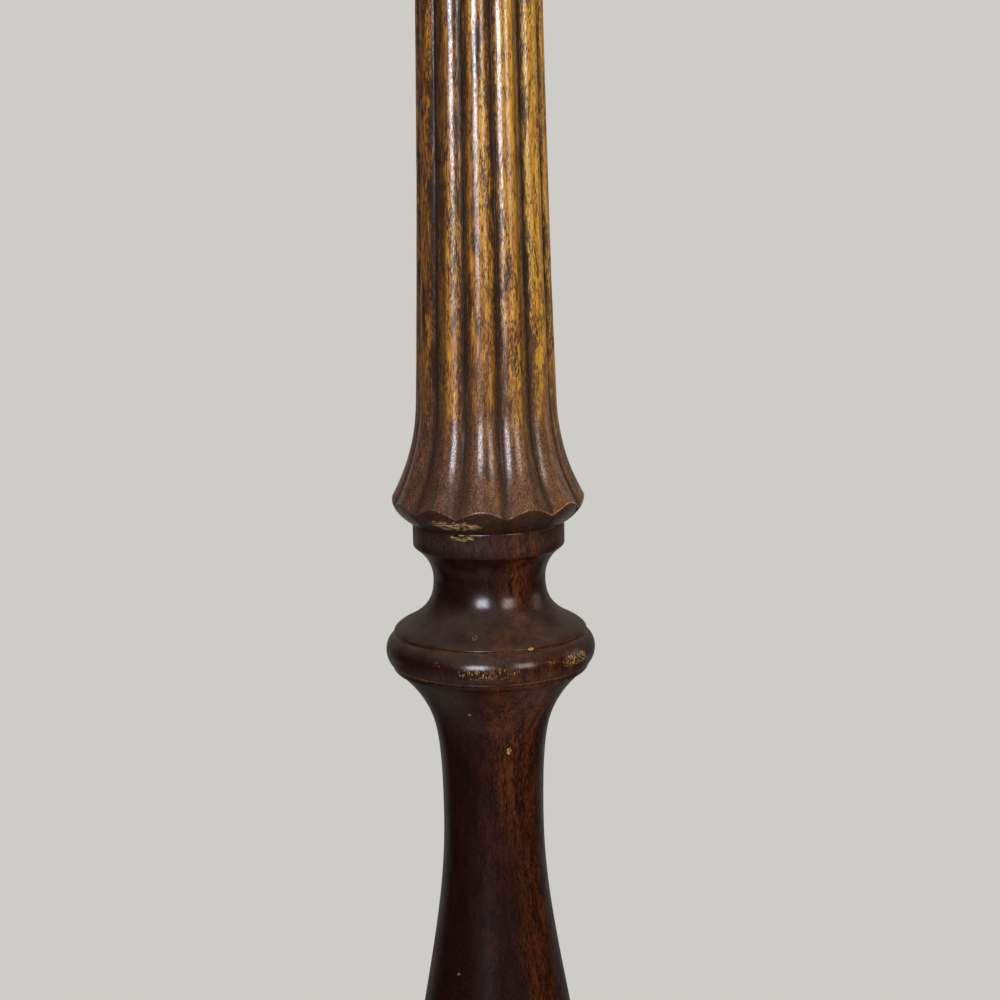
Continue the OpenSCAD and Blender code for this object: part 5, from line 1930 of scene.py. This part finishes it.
@dataclass
class Shade:
    """Hardback drum-cone shade: linen on a white liner, taped at both edges."""

    top_radius: float = 130.0
    foot_radius: float = 215.0
    liner: float = 1.0
    linen: float = 0.8
    tape_width: float = 11.0
    tape: float = 0.6
    seam_width: float = 10.0
    seam: float = 0.35
    seam_grid: tuple[int, int] = (48, 6)
    stitch: float = 6.0
    stitch_inset: float = 8.5
    segments: int = 192
    z: float = level("shade_linen")
    top: float = level("shade_linen", top_of)

    def wall(self, z: float) -> float:
        """Outer radius of the liner at height z."""
        share = (self.top - z) / (self.top - self.z)
        return self.top_radius + (self.foot_radius - self.top_radius) * share

    @property
    def sine(self) -> float:
        """Sine of the wall's lean."""
        run, rise = self.foot_radius - self.top_radius, self.top - self.z
        return run / math.hypot(run, rise)

    def build(self) -> None:
        liner = self.band("liner_skin", Sheet(hot=self.z + 190), -self.liner, -0.02)
        place_piece(liner, Body.SHADE, "liner", "shade_liner")
        linen = self.band("linen_skin", LINEN, 0.0, self.linen)
        self.lay(linen, self.on_cloth)
        place_piece(linen, Body.SHADE, "linen", "shade_linen")
        seam = self.seam_strip()
        tapes = [self.edge_tape("tape_top_band", self.top, 1.0),
                 self.edge_tape("tape_bottom_band", self.z, -1.0)]
        place_piece(tapes[0], Body.SHADE, "tape", "shade_tape_top")
        place_piece(tapes[1], Body.SHADE, "tape", "shade_tape_bottom")
        stitches = [self.stitches("stitches_top", self.top - self.stitch_inset),
                    self.stitches("stitches_bottom", self.z + self.stitch_inset)]
        dress(BRASS, "shade_spider", "shade_bottom_ring")

    def flat(self) -> Triple:
        """Work out the flat ring sector that the linen is cut to.

        Returns:
            The sector's width, length and area, in metres.
        """
        far, near = self.foot_radius / self.sine, self.top_radius / self.sine
        half = math.pi * self.sine
        width = 2 * far * math.sin(half) * MM
        length = (far - near * math.cos(half)) * MM
        return width, length, half * (far ** 2 - near ** 2) * MM * MM

    def band(self, name: str, finish: Finish, inside: float, outside: float) -> Object:
        """Make a skin from edge to edge.

        Args:
            name: The piece's name.
            finish: Its finish.
            inside: Distance of its inner face out from the liner's outer one.
            outside: Distance of its outer face.

        Returns:
            The skin.
        """
        low, high = self.wall(self.z), self.wall(self.top)
        outline = Outline((low + inside, self.z), (low + outside, self.z),
                          (high + outside, self.top), (high + inside, self.top))
        return turn_piece(name, outline, finish, segments=self.segments, ease=0.12, step=12.0)

    def edge_tape(self, name: str, edge: float, up: float) -> Object:
        """Fold a tape over an edge.

        Args:
            name: The piece's name.
            edge: Height of the edge.
            up: 1 at the top edge and -1 at the bottom one.

        Returns:
            The tape.
        """
        band, lip = edge - up * self.tape_width, edge + up * self.tape
        under, over = self.linen - 0.02, self.linen + self.tape
        points = [(self.wall(band) + under, band), (self.wall(band) + over, band),
                  (self.wall(lip) + over, lip), (self.wall(lip) - self.liner, lip),
                  (self.wall(edge) - self.liner, edge), (self.wall(edge) + under, edge)]
        outline = Outline(*(points if up > 0 else reversed(points)))
        tape = turn_piece(name, outline, TAPE, segments=self.segments, ease=0.25, step=2.0)
        self.lay(tape, self.on_tape)
        return tape

    def lay(self, piece: Object,
            flat: Callable[[float, float, float], Point]) -> None:
        """Store a piece's cloth coordinates, with the seam at the back.

        Args:
            piece: The piece.
            flat: Gives a point's place on the flat cloth in metres, from its angle from the
                seam, its radius and its height in metres.
        """
        mesh = piece.data
        layer = mesh.uv_layers.new(name="cloth")
        for face in mesh.polygons:
            middle = self.from_seam(face.center)
            for corner in face.loop_indices:
                point = mesh.vertices[mesh.loops[corner].vertex_index].co
                angle = self.from_seam(point)
                angle += FULL_TURN * round((middle - angle) / FULL_TURN)
                layer.data[corner].uv = flat(angle, math.hypot(point.x, point.y), point.z)

    @staticmethod
    def from_seam(point: Vector) -> float:
        """Angle of a point from the seam at the back, from 0 to a full turn."""
        return math.atan2(-point.x, point.y) % FULL_TURN

    def on_cloth(self, angle: float, radius: float, height: float) -> Point:
        """Place on the flat ring sector that the linen was cut from."""
        reach, turn = radius / self.sine, (angle - math.pi) * self.sine
        return reach * math.sin(turn), reach * math.cos(turn)

    def on_tape(self, angle: float, radius: float, height: float) -> Point:
        """Place along and across the flat tape."""
        return angle * self.foot_radius * MM, (radius + height) * 0.8

    def seam_strip(self) -> Object:
        """Lay the linen's overlap down the back, as a thin closed strip.

        Returns:
            The strip.
        """
        rows, columns = self.seam_grid
        sides = ((self.linen - 0.02, 0), (self.linen + self.seam, 1))
        points = []
        for out, layer in sides:
            for height in np.linspace(self.z + 2, self.top - 2, rows):
                for share in np.linspace(-0.5, 0.5, columns):
                    drop = 0.8 * self.seam * layer * (2 * abs(share)) ** 6
                    radius = self.wall(height) + out - drop
                    angle = math.pi / 2 + share * self.seam_width / radius
                    points.append((radius * math.cos(angle), radius * math.sin(angle), height))
        faces, half = [], rows * columns
        for row in range(rows - 1):
            for column in range(columns - 1):
                a = row * columns + column
                quad = [a, a + 1, a + 1 + columns, a + columns]
                faces.append(quad)
                faces.append([half + k for k in reversed(quad)])
        rim = ([k for k in range(columns)]
               + [columns * r + columns - 1 for r in range(1, rows)]
               + [columns * (rows - 1) + k for k in range(columns - 2, -1, -1)]
               + [columns * r for r in range(rows - 2, 0, -1)])
        for a, b in zip(rim, rim[1:] + rim[:1]):
            faces.append([b, a, half + a, half + b])
        strip = mesh_object("linen_seam", np.array(points), faces, LINEN)
        self.lay(strip, self.on_cloth)
        return place_piece(strip, Body.SHADE, "linen")

    def stitches(self, name: str, height: float) -> Object:
        """Run a row of stitches round a tape.

        Args:
            name: The piece's name.
            height: Height of the row.

        Returns:
            The row.
        """
        radius = self.wall(height) + self.linen + self.tape
        row = Bars.once().run(
            name, TAPE, Radius=radius + 0.05, Height=height, Thickness=0.3,
            Count=round(FULL_TURN * radius / self.stitch), Length=self.stitch * 0.6)
        row.data.uv_layers.new(name="cloth")
        return place_piece(row, Body.SHADE, "tape")


# ---- stage

@dataclass
class Lamp:
    """A soft rectangular light that faces the lamp's axis."""

    name: str
    turn: float
    distance: float
    height: float
    aim: float
    size: Point
    watts: float
    colour: Colour
    mirrored: bool = True

    def light(self) -> None:
        """Hang the light; all its lengths are in metres."""
        angle = math.radians(self.turn)
        data = bpy.data.lights.new(self.name, "AREA")
        data.shape, data.energy, data.color = "RECTANGLE", self.watts, self.colour[:3]
        data.size, data.size_y = self.size
        lamp = add_object(self.name, data)
        lamp.location = (self.distance * math.sin(angle), -self.distance * math.cos(angle),
                         self.height)
        way = Vector((0.0, 0.0, self.aim)) - lamp.location
        lamp.rotation_euler = way.to_track_quat("-Z", "Y").to_euler()
        lamp.visible_glossy = self.mirrored
        lamp.visible_camera = lamp.visible_transmission = False


LAMPS = (
    Lamp("cool_window", -15.0, 2.2, 1.1, 1.1, (0.78, 0.88), 42.0, srgb(240, 244, 255)),
    Lamp("warm_lamp", 37.0, 2.2, 1.16, 1.1, (0.7, 0.98), 18.0, srgb(255, 244, 226)),
    Lamp("side_lamp", 106.0, 2.2, 1.0, 1.0, (0.9, 1.2), 6.0, srgb(250, 240, 206)),
    Lamp("overhead", 0.0, 0.5, 2.9, 0.5, (5.0, 5.0), 30.0, srgb(255, 252, 246)),
    Lamp("back_fill", 180.0, 2.4, 1.9, 0.7, (2.0, 1.4), 26.0, srgb(255, 250, 242), False))


@dataclass
class Studio:
    """Plain pale floor and background, soft lights, and the photograph's view."""

    pale: Colour = srgb(206, 204, 200)
    floor_colour: Colour = srgb(226, 224, 220)
    ambient: float = 0.22
    room: float = 0.03
    floor_room: float = 0.42
    eye: Triple = (0.0, -0.7256, 0.643)
    pitch: float = 79.3
    pan: float = -0.336
    roll: float = -1.0
    lens: float = 74.88
    sensor: float = 36.0
    clip: Point = (0.01, 50.0)
    floor_radius: float = 1.6
    floor_sides: int = 96
    floor_fade: Point = (0.3, 0.66)

    def build(self) -> None:
        """Set up everything round the lamp."""
        self.camera()
        self.world()
        self.floor()
        for lamp in LAMPS:
            lamp.light()
        bpy.context.scene.view_settings.view_transform = "Standard"

    def camera(self) -> None:
        """Stand the camera where the photograph was taken."""
        data = bpy.data.cameras.new("camera")
        data.lens, data.sensor_width = self.lens, self.sensor
        data.clip_start, data.clip_end = self.clip
        camera = add_object("camera", data)
        turn = (Matrix.Rotation(math.radians(self.pan), 4, "Z")
                @ Matrix.Rotation(math.radians(self.pitch), 4, "X")
                @ Matrix.Rotation(math.radians(self.roll), 4, "Z"))
        camera.matrix_world = Matrix.Translation(self.eye) @ turn
        bpy.context.scene.camera = camera

    @staticmethod
    def seen(tree: Tree, y: Num, room: float | Num) -> Num:
        """How much of the background's own colour a ray shows.

        Args:
            tree: The tree to write in.
            y: How far back a ray reaches, from -1 in front of the lamp to 1 behind it.
            room: How bright the room in front of the lamp is in mirrors.

        Returns:
            1 for rays that show it straight or through glass, and for mirrored ones behind the
            lamp, room for mirrored ones in front of it, and 0 for the others.
        """
        ray = tree.numbers("ShaderNodeLightPath")
        shown = y.step(0.45, 0.98) * (1.0 - room) + room
        return ray["Is Camera Ray"].most(ray["Is Transmission Ray"]).most(
            ray["Is Glossy Ray"] * shown)

    def world(self) -> None:
        """Give the world a plain pale colour, dimmer where it lights the lamp."""
        world = bpy.data.worlds.new("studio")
        bpy.context.scene.world = world
        world.use_nodes = True
        tree = Tree(world.node_tree)
        back = world.node_tree.nodes["Background"]
        _, y, _ = tree.axes(tree.node("ShaderNodeTexCoord").outputs["Generated"])
        ray = tree.numbers("ShaderNodeLightPath")["Is Diffuse Ray"]
        tree.fill(back, {
            "Color": self.pale,
            "Strength": self.seen(tree, y, self.room).most(ray * self.ambient)})

    def floor(self) -> None:
        """Lay a round floor whose colour runs into the background's."""
        material = bpy.data.materials.new("studio_floor")
        material.use_nodes = True
        tree = Tree(material.node_tree)
        material.node_tree.nodes.remove(material.node_tree.nodes["Principled BSDF"])
        x, y, _ = tree.axes(tree.node("ShaderNodeTexCoord").outputs["Object"])
        reach = (x * x + y * y).root()
        path = tree.numbers("ShaderNodeLightPath")
        far = reach.step(*self.floor_fade).most(path["Is Glossy Ray"])
        lit = far.least(1.0 - path["Is Diffuse Ray"])
        matt = tree.node("ShaderNodeBsdfDiffuse", {"Color": self.floor_colour})
        plain = tree.node("ShaderNodeEmission", {
            "Color": self.pale,
            "Strength": self.seen(tree, y, reach.step(0.25, 0.8, (self.floor_room, self.room)))})
        both = tree.node("ShaderNodeMixShader", {0: lit, 1: matt, 2: plain})
        end = material.node_tree.nodes["Material Output"]
        tree.put(end.inputs["Surface"], both)
        radius, sides = self.floor_radius / MM, self.floor_sides
        ring = [(radius * math.cos(a), radius * math.sin(a), 0.0) for a in spokes(sides)]
        floor = mesh_object("studio_floor", np.array(ring), [list(range(sides))])
        floor.data.materials.append(material)


# Bands of painted sheen on the stem: height over the joint with the column, reach and amount.
STEM_SHEEN_BANDS = ((-4.5, 4.0, 0.2), (-37.0, 2.5, 0.3), (-60.0, 5.0, 0.12), (-50.0, 3.0, 0.1))

# Worn places of the stem: a Patch's fields in their order, with the height over the joint.
STEM_WEAR = (
    (-20.0, 27.0, -1.9, (10.0, 7.0, 2.3), (2.4, 2.4, 0.33), 0.53, 0.8),
    (-2.0, 37.4, -47.0, (24.0, 12.0, 5.2), (0.36, 0.36, 1.7), 0.49, 0.6),
    (53.0, 37.4, -46.0, (15.0, 17.0, 4.8), (0.6, 0.6, 0.42), 0.51, 0.85),
    (33.0, 37.2, -45.0, (6.0, 6.0, 1.5), (0.6, 0.6, 0.5), 0.48, 0.7),
    (-28.0, 37.0, -44.5, (10.0, 9.0, 2.6), (1.6, 1.6, 0.35), 0.46, 0.5),
    (-40.0, 35.2, -51.9, (4.0, 4.0, 1.6), (0.8, 0.8, 0.5), 0.48, 0.6),
    (-10.5, 29.4, -36.3, (2.2, 3.0, 2.6), (0.5, 0.5, 0.8), 0.52, 0.6),
    (23.7, 34.5, -39.9, (2.0, 2.0, 0.9), (0.7, 0.7, 0.5), 0.62, 0.75),
    (17.2, 19.5, -80.5, (1.7, 1.7, 3.0), (0.5, 0.5, 0.6), 0.55, 0.75),
    (-18.6, 24.2, -65.7, (1.6, 1.6, 0.8), (0.6, 0.6, 0.4), 0.58, 0.6),
    (-35.2, 23.7, -163.7, (1.2, 1.2, 1.1), (0.5, 0.5, 0.5), 0.56, 0.6),
)


def main() -> None:
    """Build the studio and the lamp from the floor up."""
    logging.basicConfig(level=logging.INFO, format="%(name)s: %(message)s")
    fit = Fit()
    joint = foot_of("reeded_column")
    wood = TurnedWood(
        figure_at=joint - 19.0,
        sheen_bands=tuple((joint + rise, *sheen_band) for rise, *sheen_band in STEM_SHEEN_BANDS),
        patches=tuple(Patch(turn, radius, joint + rise, *size)
                      for turn, radius, rise, *size in STEM_WEAR))
    reed_wood = ReedWood(lip=joint + ReededColumn.lip_rise, patches=(
        Patch(-23.0, 31.5, joint + 3.2, (24.0, 14.0, 3.8), (2.2, 2.2, 0.3), 0.54, 0.72),))
    Studio().build()
    Base(wood, fit).build()
    Stem(wood, fit).build()
    ReededColumn(fit, reed_wood).build()
    Head(wood, fit).build()
    Harp().build()
    Socket().build()
    Bulb().build()
    Shade().build()


if __name__ == "__main__":
    main()
